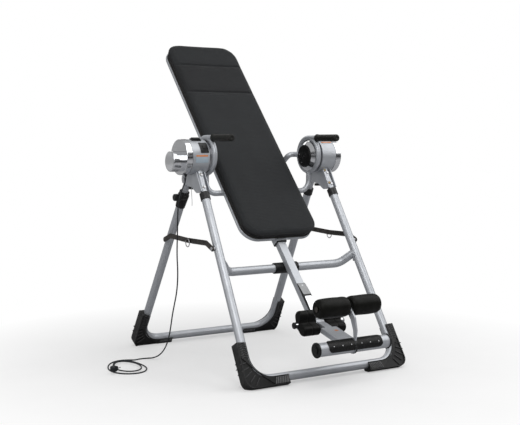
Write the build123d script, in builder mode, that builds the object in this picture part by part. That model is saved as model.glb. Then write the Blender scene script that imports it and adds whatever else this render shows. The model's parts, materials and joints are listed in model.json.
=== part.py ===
"""Motorised inversion table: two hinged tube frames, geared hubs, a tilting bed and an ankle clamp.

Millimetres, +Z up, the floor is Z = 0 and the user's feet are towards -Y.
X = 0 is the middle of the frame and Y = 0 is half way between the two floor bars.
"""
from build123d import *
import math
import os

# ---------------------------------------------------------------- driving dimensions
LEG_R = 19.05            # 38.1 mm frame tube
LEG_WALL = 2.0
STUB_R = 16.0            # bracket stubs that plug into the legs
BAR_HALF_WIDTH = 388.0   # leg axis to middle, at floor bar height
BAR_Y = 525.0            # floor bar axis from the middle
BAR_Z = 32.0
REF_Z = 847.0            # height where the next three values hold
REF_HALF_WIDTH = 348.0
FRONT_REF_Y = -40.0
REAR_REF_Y = 75.0
BEND_R = 95.0
LEG_TOP_Z = 783.0

HUB_Y = 18.0             # tilt axis of the bed, along X
HUB_Z = 946.0
DRUM_R = 80.0
DRUM_IN = 311.0          # inner face of both drums, from the middle
DRUM_OUT = {-1: 399.0, 1: 390.0}
CAP_OUT = {-1: 427.0, 1: 420.0}
SHAFT_R = 15.0
MOTOR_DROP = 19.0        # motor axis below the hub axis
MOTOR_OUT = 475.0

BED_TILT = 41.2          # bed from the vertical, head back
PAD_HALF_WIDTH = 195.5
PAD_LOW = -403.0         # foot end and head end, from the hub axis along the bed
PAD_HIGH = 803.0
PAD_FRONT = -63.0        # distances in front of the hub axis, square to the bed
PAD_BACK = -95.0
BOARD_BACK = -103.0
PAD_CORNER_R = 80.0
RAIL_R = 10.0
ARM_R = 12.7             # handle rings, cross arm and side arms
RING_X = 286.0
RING_R = 80.0
RING_Y = HUB_Y + 4.0
RING_Z = HUB_Z + 7.0
GRIP_R = 16.5

FOLD_Y = 76.0            # rear frame's fold pins
FOLD_Z = 845.0
BOOM_W = 40.0
BOOM_D = 30.0
BOOM_MID = -127.0        # boom axis in front of the hub axis
PIN_ALONG = -362.0       # the boom's pull pin, above the rail
COVER_SCREW = -662.0
CUP_AXLE = (-856.0, -112.0)      # (along, front) in the bed's own directions
FOOT_AXIS = (-1058.0, 30.0)
ROLLER_AXIS = (-914.0, 110.0)
ROLLER_END = 158.0       # outer face of both rollers
FOOT_R = 28.5
CUP_AXLE_R = 14.0
ROLLER_AXLE_R = 8.0
RUN_FIT = 0.05           # radial clearance of every turning pair

CAP_CORNER_R = 42.0      # outer corner of the foot shoes
LINK_X = 390.0           # middle of the side links, from the middle of the frame
LINK_T = 5.0
FRONT_RIVET_Z = 552.0
REAR_RIVET_Z = 556.0
LINK_JOINT = (0.0, 571.0)

CORD_R = 3.0
COIL_CENTRE = (-650.0, 110.0)
COIL_TURN = 71.6         # direction of the coil's long axis, from +X
COIL_H = 12.6

BED = Plane(
    origin=(0, HUB_Y, HUB_Z),
    x_dir=(1, 0, 0),
    z_dir=(0, -math.cos(math.radians(BED_TILT)), math.sin(math.radians(BED_TILT))),
)
SECTION = Plane(origin=(0, HUB_Y, HUB_Z), x_dir=(1, 0, 0), z_dir=(0, -1, 0))
SIDES = (-1, 1)
ORIGIN_SHIFT = (27.5, 45.5, 0)   # puts the origin under the middle of the finished bounds


# ---------------------------------------------------------------- places and helpers
def bed_point(x, along, front):
    """A point of the bed, from its own directions to the frame's."""
    return BED.from_local_coords(Vector(x, along, front))


def leg_point(side, end, z):
    """A point on a leg axis: side -1 left, 1 right; end -1 front, 1 rear."""
    rise = (z - BAR_Z) / (REF_Z - BAR_Z)
    ref_y = FRONT_REF_Y if end < 0 else REAR_REF_Y
    x = side * (BAR_HALF_WIDTH + (REF_HALF_WIDTH - BAR_HALF_WIDTH) * rise)
    return Vector(x, end * BAR_Y + (ref_y - end * BAR_Y) * rise, z)


def rod(start, end, radius, bore=0.0, mode=Mode.ADD):
    """A round bar or tube from one point to another."""
    start = Vector(*start)
    end = Vector(*end)
    axis = (end - start).normalized()
    side = Vector(0, 0, 1) if abs(axis.X) > 0.5 else Vector(1, 0, 0)
    with BuildSketch(Plane(origin=start, x_dir=side.cross(axis), z_dir=axis)) as section:
        Circle(radius)
        if bore:
            Circle(bore, mode=Mode.SUBTRACT)
    extrude(section.sketch, amount=(end - start).length, mode=mode)


def hub_disc(side, inner, outer, radius, bore=0.0, drop=0.0, mode=Mode.ADD):
    """A disc or ring on the hub axis, between two distances from the middle."""
    with BuildSketch(Plane.YZ.offset(side * inner)) as section:
        with Locations((HUB_Y, HUB_Z - drop)):
            Circle(radius)
            if bore:
                Circle(bore, mode=Mode.SUBTRACT)
    extrude(section.sketch, amount=side * (outer - inner), mode=mode)


def bed_slot_box(x_half, low, high, back, front, mode=Mode.ADD):
    """A box in the bed's own directions."""
    with BuildSketch(BED.offset(back)) as section:
        with Locations((0, (low + high) / 2)):
            Rectangle(2 * x_half, high - low)
    extrude(section.sketch, amount=front - back, mode=mode)


def swept_tube(points, bends, radius, bore=0.0):
    """A round tube along straight runs joined by arcs."""
    with BuildPart() as tube:
        with BuildLine() as path:
            FilletPolyline(*points, radius=bends)
        start = path.line @ 0
        heading = path.line % 0
        side = Vector(0, 0, 1) if abs(heading.Z) < 0.8 else Vector(0, 1, 0)
        with BuildSketch(Plane(origin=start, x_dir=side.cross(heading), z_dir=heading)):
            Circle(radius)
            if bore:
                Circle(bore, mode=Mode.SUBTRACT)
        sweep(path=path.line)
    return tube.part


def finish(pieces, name):
    """Move the solids of one node to the finished frame, label them and write them."""
    solids = []
    for piece in pieces:
        solids.extend(solid.moved(Location(ORIGIN_SHIFT)) for solid in piece.solids())
    whole = solids[0] if len(solids) == 1 else Compound(children=solids)
    whole.label = name
    export_step(whole, f"parts/{name}.step")


# ---------------------------------------------------------------- frames
def frame_path(end):
    """Corner points of one U frame, from the left leg's top to the right's."""
    return [
        leg_point(-1, end, LEG_TOP_Z),
        leg_point(-1, end, BAR_Z),
        leg_point(1, end, BAR_Z),
        leg_point(1, end, LEG_TOP_Z),
    ]


def make_frame_tube(end):
    return swept_tube(frame_path(end), BEND_R, LEG_R, LEG_R - LEG_WALL)


def make_foot_cap(side, end, tube):
    """A moulded shoe round the outside of one bend, cut flat where it stands."""
    up_run = 165.0
    bar_run = 175.0
    half_width = 23.0
    outer = 17.0
    inner = 3.0
    corner = leg_point(side, end, BAR_Z)
    up = (leg_point(side, end, REF_Z) - corner).normalized()
    along = Vector(-side, 0, 0)
    outward = (along - up * along.dot(up)).normalized() * -1
    thickness = LEG_R + outer + inner
    shift = (LEG_R + outer - inner) / 2
    with BuildPart() as cap:
        with BuildLine() as path:
            FilletPolyline(corner + up * up_run, corner, corner + along * bar_run, radius=BEND_R)
        with BuildSketch(Plane(origin=corner + up * up_run, x_dir=outward, z_dir=-up)):
            with Locations((shift, 0)):
                Rectangle(thickness, 2 * half_width)
        sweep(path=path.line)
        add(make_cap_web(side, end, LEG_R + outer, half_width, CAP_CORNER_R))
        pocket = make_cap_web(side, end, LEG_R + outer - 5.0, 10.0, CAP_CORNER_R - 5.0)
        for face in (-1, 1):
            shift_out = cap_normal(side, end) * face * (half_width + 6.0)
            add(pocket.moved(Location(shift_out)), mode=Mode.SUBTRACT)
        add(tube, mode=Mode.SUBTRACT)
        split(bisect_by=Plane.XY, keep=Keep.TOP)
    return max(cap.part.solids(), key=lambda solid: solid.volume)


def cap_normal(side, end):
    """Square to the plane of one U frame."""
    up = leg_point(side, end, REF_Z) - leg_point(side, end, BAR_Z)
    return up.cross(Vector(-side, 0, 0)).normalized()


def make_cap_web(side, end, outer, half_width, corner_r):
    """The square corner outside one bend, as a block with its outer edge rounded."""
    corner = leg_point(side, end, BAR_Z)
    up = (leg_point(side, end, REF_Z) - corner).normalized()
    along = Vector(-side, 0, 0)
    outward = (along - up * along.dot(up)).normalized() * -1
    down = (up - along * up.dot(along)).normalized() * -1
    lean = math.acos(up.dot(along))
    drop = (outer + outer * math.cos(lean)) / math.sin(lean)
    tip = corner + outward * outer - up * drop
    reach = BEND_R / math.tan(lean / 2) + 2.0
    middle = corner + (along + up).normalized() * (BEND_R / math.sin(lean / 2) - BEND_R)
    plane = Plane(origin=corner, x_dir=along, z_dir=cap_normal(side, end))
    leg_edge = corner + up * reach + outward * outer
    bar_edge = corner + along * reach + down * outer
    spots = [leg_edge, tip, bar_edge, middle]
    local = [plane.to_local_coords(spot) for spot in spots]
    with BuildPart() as web:
        with BuildSketch(plane.offset(-half_width)) as section:
            with BuildLine():
                Polyline(*[(spot.X, spot.Y) for spot in local], close=True)
            make_face()
            fillet(section.vertices().sort_by_distance((local[1].X, local[1].Y, 0))[0], corner_r)
        extrude(section.sketch, amount=2 * half_width)
    return web.part


def make_cap_core(end):
    """The solid that a foot cap's channel is cut with."""
    return swept_tube(frame_path(end), BEND_R, LEG_R + 0.02)


def make_collar(side, end):
    """The plastic bush where a stub enters a leg."""
    low = leg_point(side, end, 757.0)
    lip = leg_point(side, end, LEG_TOP_Z + 0.2)
    top = leg_point(side, end, LEG_TOP_Z + 3.5)
    with BuildPart() as collar:
        rod(low, lip, 22.5, LEG_R)
        rod(lip, top, 22.5, STUB_R)
    return collar.part


def make_crossbar(front_tube_core):
    """The bar between the front legs, bowed down and back, that the boom rests on."""
    middle = bed_point(0, -522.0, -167.5)
    corner_x = 305.0
    end_point = leg_point(1, -1, 498.0)
    points = [
        Vector(-end_point.X, end_point.Y, end_point.Z),
        Vector(-corner_x, middle.Y, middle.Z),
        Vector(corner_x, middle.Y, middle.Z),
        end_point,
    ]
    with BuildPart() as bar:
        add(swept_tube(points, 60.0, LEG_R, LEG_R - LEG_WALL))
        add(front_tube_core, mode=Mode.SUBTRACT)
    return max(bar.part.solids(), key=lambda solid: solid.volume)


def make_crossbar_bumper():
    """The rubber sleeve on the middle of the crossbar, under the boom."""
    middle = bed_point(0, -522.0, -167.5)
    with BuildPart() as bumper:
        rod((-62, middle.Y, middle.Z), (62, middle.Y, middle.Z), 25.0, LEG_R)
        fillet(bumper.edges().filter_by(GeomType.CIRCLE).sort_by(SortBy.RADIUS)[-2:], 2.0)
    return bumper.part


# ---------------------------------------------------------------- hub brackets
def cheek_profile():
    """Side plate outline in Y and Z, from the front stub round to the fold pin."""
    points = [
        (-89, 799), (-36, 888), (18, 900), (72, 886),
        (95, 852), (92, 828), (58, 821), (30, 815),
        (2, 812), (-28, 794), (-42, 786), (-68, 788),
    ]
    with BuildSketch(Plane.YZ) as cheek:
        with BuildLine():
            Polyline(*points, close=True)
        make_face()
        fillet(cheek.vertices().group_by(Axis.Y)[0], 6.0)
        with Locations((FOLD_Y, FOLD_Z)):
            Circle(21.0)
        with Locations((HUB_Y, HUB_Z)):
            Circle(DRUM_R, mode=Mode.SUBTRACT)
    return cheek.sketch_local


def make_bracket(side):
    """Two cheeks and a saddle under a drum, with the front stub between them."""
    cheek = cheek_profile()
    with BuildPart() as bracket:
        for inner in (327.5, 369.5):
            with BuildSketch(Plane.YZ.offset(side * inner)):
                add(cheek)
            extrude(amount=side * 3.0)
        hub_disc(side, 327.5, 372.5, 86.0, DRUM_R)
        with BuildSketch(Plane.YZ.offset(side * 320.0)):
            with Locations((HUB_Y, HUB_Z + 68.0)):
                Rectangle(260, 270)
        extrude(amount=side * 60.0, mode=Mode.SUBTRACT)
        rod(leg_point(side, -1, 884.0), leg_point(side, -1, 690.0), STUB_R, STUB_R - 2.0)
        hub_disc(side, 320.0, 380.0, DRUM_R, mode=Mode.SUBTRACT)
        rod((side * 320, FOLD_Y, FOLD_Z), (side * 380, FOLD_Y, FOLD_Z), 6.0, mode=Mode.SUBTRACT)
    return bracket.part


def make_rear_stub(side):
    """The swinging stub that carries a rear leg, hung on its fold pin."""
    foot = leg_point(side, 1, 690.0)
    start = leg_point(side, 1, FOLD_Z)
    with BuildPart() as stub:
        rod(start, foot, STUB_R, STUB_R - 2.0)
        rod((side * 332, FOLD_Y, FOLD_Z), (side * 364, FOLD_Y, FOLD_Z), STUB_R)
        rod((side * 320, FOLD_Y, FOLD_Z), (side * 380, FOLD_Y, FOLD_Z), 6.0 + RUN_FIT, mode=Mode.SUBTRACT)
    return max(stub.part.solids(), key=lambda solid: solid.volume)


def make_fasteners():
    """Front stub bolts, the fold pins and the front link rivets."""
    pieces = []
    for side in SIDES:
        with BuildPart() as pin:
            rod((side * 324, FOLD_Y, FOLD_Z), (side * 376, FOLD_Y, FOLD_Z), 6.0)
            rod((side * 372.5, FOLD_Y, FOLD_Z), (side * 378, FOLD_Y, FOLD_Z), 10.0)
            rod((side * 322, FOLD_Y, FOLD_Z), (side * 327.5, FOLD_Y, FOLD_Z), 10.0)
        pieces.append(pin.part)
        for bolt_z in (858.0, 806.0):
            centre = leg_point(side, -1, bolt_z)
            axis = (leg_point(side, -1, 900.0) - leg_point(side, -1, 700.0)).normalized()
            out = Vector(0, -axis.Z, axis.Y).normalized()
            with BuildPart() as bolt:
                rod(centre + out * (STUB_R - 0.4), centre + out * (STUB_R + 4.0), 6.5)
                rod(centre + out * (STUB_R - 2.0), centre + out * (STUB_R - 0.4), 4.0)
                chamfer(bolt.edges().filter_by(GeomType.CIRCLE).sort_by(SortBy.RADIUS)[-1], 1.0)
                add(make_stub_core(side), mode=Mode.SUBTRACT)
            pieces.append(bolt.part)
        rivet = leg_point(side, -1, FRONT_RIVET_Z)
        with BuildPart() as link_rivet:
            rod((rivet.X, rivet.Y, rivet.Z), (side * (LINK_X + 4.0), rivet.Y, rivet.Z), 4.0)
            rod((rivet.X, rivet.Y, rivet.Z), (side * (LINK_X - LINK_T / 2 - 0.3), rivet.Y, rivet.Z), 8.0)
            link_face = side * (LINK_X + LINK_T / 2 + 0.3)
            rod((link_face, rivet.Y, rivet.Z), (side * (LINK_X + 6.5), rivet.Y, rivet.Z), 8.0)
            add(make_leg_core(side, -1), mode=Mode.SUBTRACT)
        pieces.append(max(link_rivet.part.solids(), key=lambda solid: solid.volume))
    return pieces


def make_stub_core(side):
    with BuildPart() as core:
        rod(leg_point(side, -1, 890.0), leg_point(side, -1, 690.0), STUB_R)
    return core.part


def make_leg_core(side, end):
    with BuildPart() as core:
        rod(leg_point(side, end, 700.0), leg_point(side, end, 400.0), LEG_R)
    return core.part


def make_fold_stop(side):
    """The rubber pad that a rear stub meets when the frame is folded."""
    with BuildPart() as stop:
        with BuildSketch(Plane.YZ.offset(side * 330.5)):
            with Locations((24, 806)):
                RectangleRounded(24, 12, 3)
        extrude(amount=side * 39.0)
    return stop.part


# ---------------------------------------------------------------- drums and drive
def make_drum_shell(side):
    """A drum's barrel, its inner wall and its bearing housing."""
    with BuildPart() as shell:
        hub_disc(side, DRUM_IN, DRUM_OUT[side], DRUM_R, DRUM_R - 2.5)
        hub_disc(side, DRUM_IN, DRUM_IN + 4.0, DRUM_R, 24.0)
        hub_disc(side, DRUM_IN + 4.0, 345.0, 30.0, 24.0)
        inner_rim = shell.edges().filter_by(GeomType.CIRCLE).filter_by(
            lambda edge: abs(abs(edge.center().X) - DRUM_IN) < 0.01 and edge.radius > 70)
        fillet(inner_rim, 2.5)
    return shell.part


def make_end_cap(side):
    """The bright end cover of a drum, open at the motor on the left."""
    with BuildPart() as cap:
        hub_disc(side, DRUM_OUT[side], CAP_OUT[side], DRUM_R + 0.5)
        hub_disc(side, DRUM_OUT[side], CAP_OUT[side] - 3.0, DRUM_R - 2.5, mode=Mode.SUBTRACT)
        outer_rim = cap.edges().filter_by(GeomType.CIRCLE).filter_by(
            lambda edge: abs(abs(edge.center().X) - CAP_OUT[side]) < 0.01)
        fillet(outer_rim, 2.8)
        if side < 0:
            hub_disc(side, DRUM_OUT[side], CAP_OUT[side], 43.0, drop=MOTOR_DROP, mode=Mode.SUBTRACT)
    return cap.part


def make_motor_cap():
    """The bright can over the motor's tail."""
    with BuildPart() as cap:
        hub_disc(-1, CAP_OUT[-1], MOTOR_OUT, 46.0, drop=MOTOR_DROP)
        rim = cap.edges().filter_by(GeomType.CIRCLE).sort_by(Axis.X)[0]
        fillet(rim, 4.0)
        hub_disc(-1, CAP_OUT[-1], MOTOR_OUT - 3.0, 43.0, drop=MOTOR_DROP, mode=Mode.SUBTRACT)
    return cap.part


def make_motor_body():
    """The motor, on a plate that fills the drum."""
    with BuildPart() as motor:
        hub_disc(-1, 376.0, 380.0, DRUM_R - 2.5)
        hub_disc(-1, 380.0, 468.0, 40.0, drop=MOTOR_DROP)
        hub_disc(-1, 370.0, 376.0, 14.0, drop=MOTOR_DROP)
        hub_disc(-1, 370.0, 430.0, 4.0 + RUN_FIT, drop=MOTOR_DROP, mode=Mode.SUBTRACT)
    return motor.part


def make_bearings():
    """Two plain bearings in each drum's housing."""
    rings = []
    for side in SIDES:
        for start in (315.5, 333.0):
            with BuildPart() as ring:
                hub_disc(side, start, start + 12.0, 24.0, SHAFT_R + RUN_FIT)
            rings.append(ring.part)
    return rings


def make_hub_shaft(side):
    """The turning hub: a shaft, a flange and a hollow core inside the handle ring."""
    shaft_end = 352.0 if side < 0 else 350.0
    with BuildPart() as shaft:
        hub_disc(side, 299.0, 305.0, 72.0)
        hub_disc(side, 262.0, 299.0, 50.0, 40.0)
        hub_disc(side, 305.0, shaft_end, SHAFT_R)
    return shaft.part


def gear_outline(teeth, root, tip, root_share, tip_share, centre, start=0.0):
    """Corner points of a straight-sided gear outline."""
    points = []
    pitch = 2 * math.pi / teeth
    for tooth in range(teeth):
        middle = start + tooth * pitch
        for radius, offset in (
            (root, -root_share), (tip, -tip_share), (tip, tip_share), (root, root_share),
        ):
            angle = middle + offset * pitch / 2
            points.append((centre[0] + radius * math.cos(angle), centre[1] + radius * math.sin(angle)))
    return points


def make_ring_gear():
    """The internally toothed gear on the left shaft, fifty teeth of one millimetre module."""
    with BuildPart() as gear:
        hub_disc(-1, 347.0, 352.0, 34.0, SHAFT_R)
        with BuildSketch(Plane.YZ.offset(-352.0)):
            with Locations((HUB_Y, HUB_Z)):
                Circle(34.0)
            with BuildLine():
                Polyline(*gear_outline(50, 26.3, 24.2, 0.66, 0.26, (HUB_Y, HUB_Z)), close=True)
            make_face(mode=Mode.SUBTRACT)
        extrude(amount=-14.0)
    return gear.part


def make_motor_pinion():
    """The twelve-tooth pinion on the motor's shaft, in mesh at the bottom of the ring gear."""
    centre = (HUB_Y, HUB_Z - MOTOR_DROP)
    with BuildPart() as pinion:
        with BuildSketch(Plane.YZ.offset(-354.0)):
            with BuildLine():
                Polyline(*gear_outline(12, 4.9, 6.8, 0.62, 0.20, centre, -math.pi / 2), close=True)
            make_face()
        extrude(amount=-11.0)
        hub_disc(-1, 365.0, 400.0, 4.0, drop=MOTOR_DROP)
    return pinion.part


def drum_patch(first_deg, last_deg, inner, outer, low_r, high_r, side=-1):
    """A curved plate on a drum; angles run up from the front of the drum."""
    reach = high_r * 1.6
    angles = [math.radians(180.0 - first_deg), math.radians(180.0 - last_deg)]
    corners = [(HUB_Y + reach * math.cos(a), HUB_Z + reach * math.sin(a)) for a in angles]
    with BuildSketch(Plane.YZ.offset(side * inner)) as section:
        with Locations((HUB_Y, HUB_Z)):
            Circle(high_r)
            Circle(low_r, mode=Mode.SUBTRACT)
        with BuildLine():
            Polyline((HUB_Y, HUB_Z), corners[0], corners[1], close=True)
        make_face(mode=Mode.INTERSECT)
    extrude(section.sketch, amount=side * (outer - inner))


def make_switch_panel():
    with BuildPart() as panel:
        drum_patch(14.0, 52.0, 317.0, 357.0, DRUM_R, DRUM_R + 2.5)
        drum_box(33.0, 337.0, 15.0, 20.0, DRUM_R, DRUM_R + 6.0, Mode.SUBTRACT)
    return panel.part


def drum_box(angle_deg, middle, width, height, low_r, high_r, mode=Mode.ADD):
    """A block that stands on the left drum, at an angle up from its front."""
    angle = math.radians(180.0 - angle_deg)
    out = Vector(0, math.cos(angle), math.sin(angle))
    base = Vector(-middle, HUB_Y, HUB_Z) + out * low_r
    with BuildSketch(Plane(origin=base, x_dir=(1, 0, 0), z_dir=out)) as section:
        Rectangle(width, height)
    extrude(section.sketch, amount=high_r - low_r, mode=mode)


def make_power_rocker():
    """The rocker key in the switch panel."""
    with BuildPart() as rocker:
        drum_box(33.0, 337.0, 14.0, 17.0, DRUM_R + 0.9, DRUM_R + 4.5)
        fillet(rocker.edges().filter_by(Axis.X), 1.2)
    return rocker.part


def make_stop_button():
    """The low key on top of the left drum."""
    with BuildPart() as button:
        drum_box(74.0, 356.0, 40.0, 20.0, DRUM_R + 3.4, DRUM_R + 10.0)
        fillet(button.edges(), 2.5)
    return button.part


def make_button_base():
    """The pocket that the key sinks into."""
    with BuildPart() as base:
        drum_box(74.0, 356.0, 46.0, 26.0, DRUM_R - 1.0, DRUM_R + 5.0)
        drum_box(74.0, 356.0, 41.0, 21.0, DRUM_R - 1.0, DRUM_R + 6.0, Mode.SUBTRACT)
        hub_disc(-1, 320.0, 395.0, DRUM_R, mode=Mode.SUBTRACT)
    return base.part


# ---------------------------------------------------------------- turning bed
def make_handle_ring(side):
    """A ring round the hub whose top runs forward as the handle."""
    with BuildPart() as ring:
        for radius, mode in ((ARM_R, Mode.ADD), (ARM_R - 2.0, Mode.SUBTRACT)):
            ring_sweep(side, 0.0, 300.0, 222.0, radius, mode)
            ring_sweep(side, 300.0, 353.0, 0.0, radius, mode)
    return ring.part


def ring_sweep(side, first_deg, last_deg, lead, radius, mode):
    """Part of a handle ring, by angles back and down from its top, after a straight lead."""
    with BuildPart() as piece:
        with BuildLine(Plane.YZ.offset(side * RING_X)) as path:
            if lead:
                Line((RING_Y - lead, RING_Z + RING_R), (RING_Y, RING_Z + RING_R))
            CenterArc((RING_Y, RING_Z), RING_R, 90.0 - first_deg, first_deg - last_deg)
        start = path.line @ 0
        with BuildSketch(Plane(origin=start, x_dir=(1, 0, 0), z_dir=path.line % 0)):
            Circle(radius)
        sweep(path=path.line)
    add(piece.part, mode=mode)


def make_grip(side):
    """The rubber sleeve on a handle, with a domed end."""
    top = RING_Z + RING_R
    with BuildPart() as grip:
        rod((side * RING_X, -46, top), (side * RING_X, -208, top), GRIP_R)
        fillet(grip.edges().sort_by(Axis.Y)[0], 5.0)
        fillet(grip.edges().sort_by(Axis.Y)[-1], 1.5)
        rod((side * RING_X, -20, top), (side * RING_X, -202, top), ARM_R, mode=Mode.SUBTRACT)
    return grip.part


def make_hub_bell(side):
    """The bright dish over the hub's core."""
    profile = [(261.5, 46), (258.5, 46), (258.5, 55), (273, 70.5), (273, 66.5), (261.5, 52)]
    with BuildPart() as bell:
        with BuildSketch(SECTION):
            with BuildLine():
                Polyline(*[(side * x, r) for x, r in profile], close=True)
            make_face()
        revolve(axis=Axis((0, HUB_Y, HUB_Z), (1, 0, 0)))
    return bell.part


def make_hub_disc(side):
    """The black cover in the middle of the dish."""
    with BuildPart() as cover:
        hub_disc(side, 254.5, 258.5, 53.0)
        fillet(cover.edges().filter_by(GeomType.CIRCLE).filter_by(
            lambda edge: abs(abs(edge.center().X) - 254.5) < 0.01), 1.5)
    return cover.part


def make_disc_screws():
    """Two screws and a centre pip on each cover."""
    pieces = []
    for side in SIDES:
        for radius, angle in ((37.0, 12.0), (37.0, -60.0), (0.0, 0.0)):
            y = HUB_Y + radius * math.cos(math.radians(angle))
            z = HUB_Z + radius * math.sin(math.radians(angle))
            size = 3.2 if radius else 1.8
            with BuildPart() as screw:
                rod((side * 254.5, y, z), (side * 252.5, y, z), size)
            pieces.append(screw.part)
    return pieces


def rail_section(radius, mode=Mode.ADD):
    """The bed rail's tube, swept round its rounded rectangle."""
    length = PAD_HIGH - PAD_LOW + 4.0 - 2 * RAIL_R
    width = 2 * (PAD_HALF_WIDTH + 2.0 - RAIL_R)
    middle = (PAD_HIGH + PAD_LOW) / 2
    corner = PAD_CORNER_R + 2.0 - RAIL_R
    with BuildSketch(BED.offset(BOARD_BACK - RAIL_R), mode=Mode.PRIVATE) as outline:
        with Locations((0, middle)):
            RectangleRounded(width, length, corner)
    wire = outline.sketch.faces()[0].outer_wire()
    start = wire @ 0
    heading = wire % 0
    with BuildSketch(Plane(origin=start, x_dir=BED.z_dir, z_dir=heading)) as section:
        Circle(radius)
    sweep(section.sketch, path=wire, mode=mode)


def make_bed_rail():
    """The tube round the back of the bed, broken by the boom's socket."""
    with BuildPart() as rail:
        rail_section(RAIL_R)
        rail_section(RAIL_R - 1.5, Mode.SUBTRACT)
        bed_slot_box(25.0, PAD_LOW - 20.0, PAD_LOW + 60.0, -150.0, -100.0, Mode.SUBTRACT)
    return rail.part


def make_rail_core():
    with BuildPart() as core:
        rail_section(RAIL_R)
    return core.part


def make_ring_core(side):
    with BuildPart() as core:
        with Locations(Location((side * RING_X, RING_Y, RING_Z), (0, 90, 0))):
            Torus(RING_R, ARM_R)
    return core.part


ARM_ALONG = 60.6         # the cross arm's height on the bed, level with the rings' backs
ARM_BACK = BOARD_BACK - 2 * RAIL_R - ARM_R


def make_cross_arm():
    """The tube from ring to ring that passes behind the bed."""
    ring_front = -58.6
    half = [(RING_X, ring_front), (226.0, ring_front), (214.0, ARM_BACK)]
    points = [bed_point(-x, ARM_ALONG, front) for x, front in half]
    points += [bed_point(x, ARM_ALONG, front) for x, front in reversed(half)]
    with BuildPart() as arm:
        add(swept_tube(points, 20.0, ARM_R, ARM_R - 2.0))
        for side in SIDES:
            add(make_ring_core(side), mode=Mode.SUBTRACT)
    return max(arm.part.solids(), key=lambda solid: solid.volume)


def make_side_arm(side, rail_core):
    """The tube from a ring's foot that turns in to the bed rail."""
    foot = bed_point(0, -124.0, BOARD_BACK - RAIL_R)
    points = [
        Vector(side * RING_X, RING_Y, RING_Z - RING_R),
        Vector(side * RING_X, RING_Y, foot.Z),
        Vector(side * (PAD_HALF_WIDTH + 0.5), RING_Y, foot.Z),
    ]
    with BuildPart() as arm:
        add(swept_tube(points, 50.0, ARM_R, ARM_R - 2.0))
        add(make_ring_core(side), mode=Mode.SUBTRACT)
        add(rail_core, mode=Mode.SUBTRACT)
    return max(arm.part.solids(), key=lambda solid: solid.volume)


def make_bed_slab(back, front, inset):
    """A rounded slab of the bed's outline, between two planes."""
    middle = (PAD_HIGH + PAD_LOW) / 2
    with BuildPart() as slab:
        with BuildSketch(BED.offset(back)):
            with Locations((0, middle)):
                RectangleRounded(
                    2 * (PAD_HALF_WIDTH - inset), PAD_HIGH - PAD_LOW - 2 * inset, PAD_CORNER_R - inset)
        extrude(amount=front - back)
    return slab.part


def make_boom_socket(arm_core):
    """The square tube down the bed's back that the boom slides in."""
    with BuildPart() as socket:
        bed_slot_box(25.0, -412.0, ARM_ALONG, BOOM_MID - 20.0, BOOM_MID + 20.0)
        bed_slot_box(23.0, -412.0, ARM_ALONG, BOOM_MID - 18.0, BOOM_MID + 18.0, Mode.SUBTRACT)
        rod(bed_point(23.0, PIN_ALONG, BOOM_MID), bed_point(36.0, PIN_ALONG, BOOM_MID), 5.0 + RUN_FIT,
            mode=Mode.SUBTRACT)
        add(arm_core, mode=Mode.SUBTRACT)
    return max(socket.part.solids(), key=lambda solid: solid.volume)


def make_arm_core():
    with BuildPart() as core:
        rod(bed_point(-100, ARM_ALONG, ARM_BACK), bed_point(100, ARM_ALONG, ARM_BACK), ARM_R)
    return core.part


def make_socket_bush():
    """The liner and collar at the socket's mouth."""
    with BuildPart() as bush:
        bed_slot_box(23.0, -412.0, -350.0, BOOM_MID - 18.0, BOOM_MID + 18.0)
        bed_slot_box(25.0, -418.0, -412.0, BOOM_MID - 20.0, BOOM_MID + 20.0)
        bed_slot_box(20.3, -420.0, -340.0, BOOM_MID - 15.3, BOOM_MID + 15.3, Mode.SUBTRACT)
        rod(bed_point(18.0, PIN_ALONG, BOOM_MID), bed_point(36.0, PIN_ALONG, BOOM_MID), 5.0 + RUN_FIT,
            mode=Mode.SUBTRACT)
    return bush.part


def make_height_pin():
    """The pull pin that sets the boom's length, in the socket's right wall."""
    with BuildPart() as pin:
        rod(bed_point(20.6, PIN_ALONG, BOOM_MID), bed_point(34.0, PIN_ALONG, BOOM_MID), 5.0)
        rod(bed_point(34.0, PIN_ALONG, BOOM_MID), bed_point(46.0, PIN_ALONG, BOOM_MID), 11.0)
        fillet(pin.edges().filter_by(GeomType.CIRCLE).sort_by(Axis.X)[-1], 3.0)
    return pin.part


# ---------------------------------------------------------------- boom and ankle clamp
def flat_axis(pair, half_length):
    """End points of a cross axle given by its (along, front) place."""
    return bed_point(-half_length, *pair), bed_point(half_length, *pair)


def make_boom():
    """The sliding square tube with the cup axle's sleeve on its foot."""
    with BuildPart() as boom:
        bed_slot_box(BOOM_W / 2, CUP_AXLE[0], -70.0, BOOM_MID - BOOM_D / 2, BOOM_MID + BOOM_D / 2)
        fillet(boom.edges().filter_by(lambda edge: edge.length > 500), 3.0)
        bed_slot_box(BOOM_W / 2 - 2, CUP_AXLE[0], -60.0, BOOM_MID - 13.0, BOOM_MID + 13.0, Mode.SUBTRACT)
        rod(*flat_axis(CUP_AXLE, 20.0), CUP_AXLE_R + 4.0)
        rod(*flat_axis(CUP_AXLE, 25.0), CUP_AXLE_R, mode=Mode.SUBTRACT)
    return boom.part


def make_boom_cover():
    """The bowed guard on the front of the boom."""
    with BuildPart() as cover:
        with BuildSketch(Plane(origin=bed_point(-21.0, 0, 0), x_dir=-BED.y_dir, z_dir=(1, 0, 0))) as side:
            with BuildLine():
                Line((648.0, 112.0), (648.0, 109.5))
                ThreePointArc((648.0, 109.5), (735.0, 100.0), (818.0, 106.0))
                Line((818.0, 106.0), (818.0, 112.0))
                Line((818.0, 112.0), (648.0, 112.0))
            make_face()
        extrude(amount=42.0)
        rod(bed_point(0, COVER_SCREW, -113.0), bed_point(0, COVER_SCREW, -95.0), 3.5, mode=Mode.SUBTRACT)
    return cover.part


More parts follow.
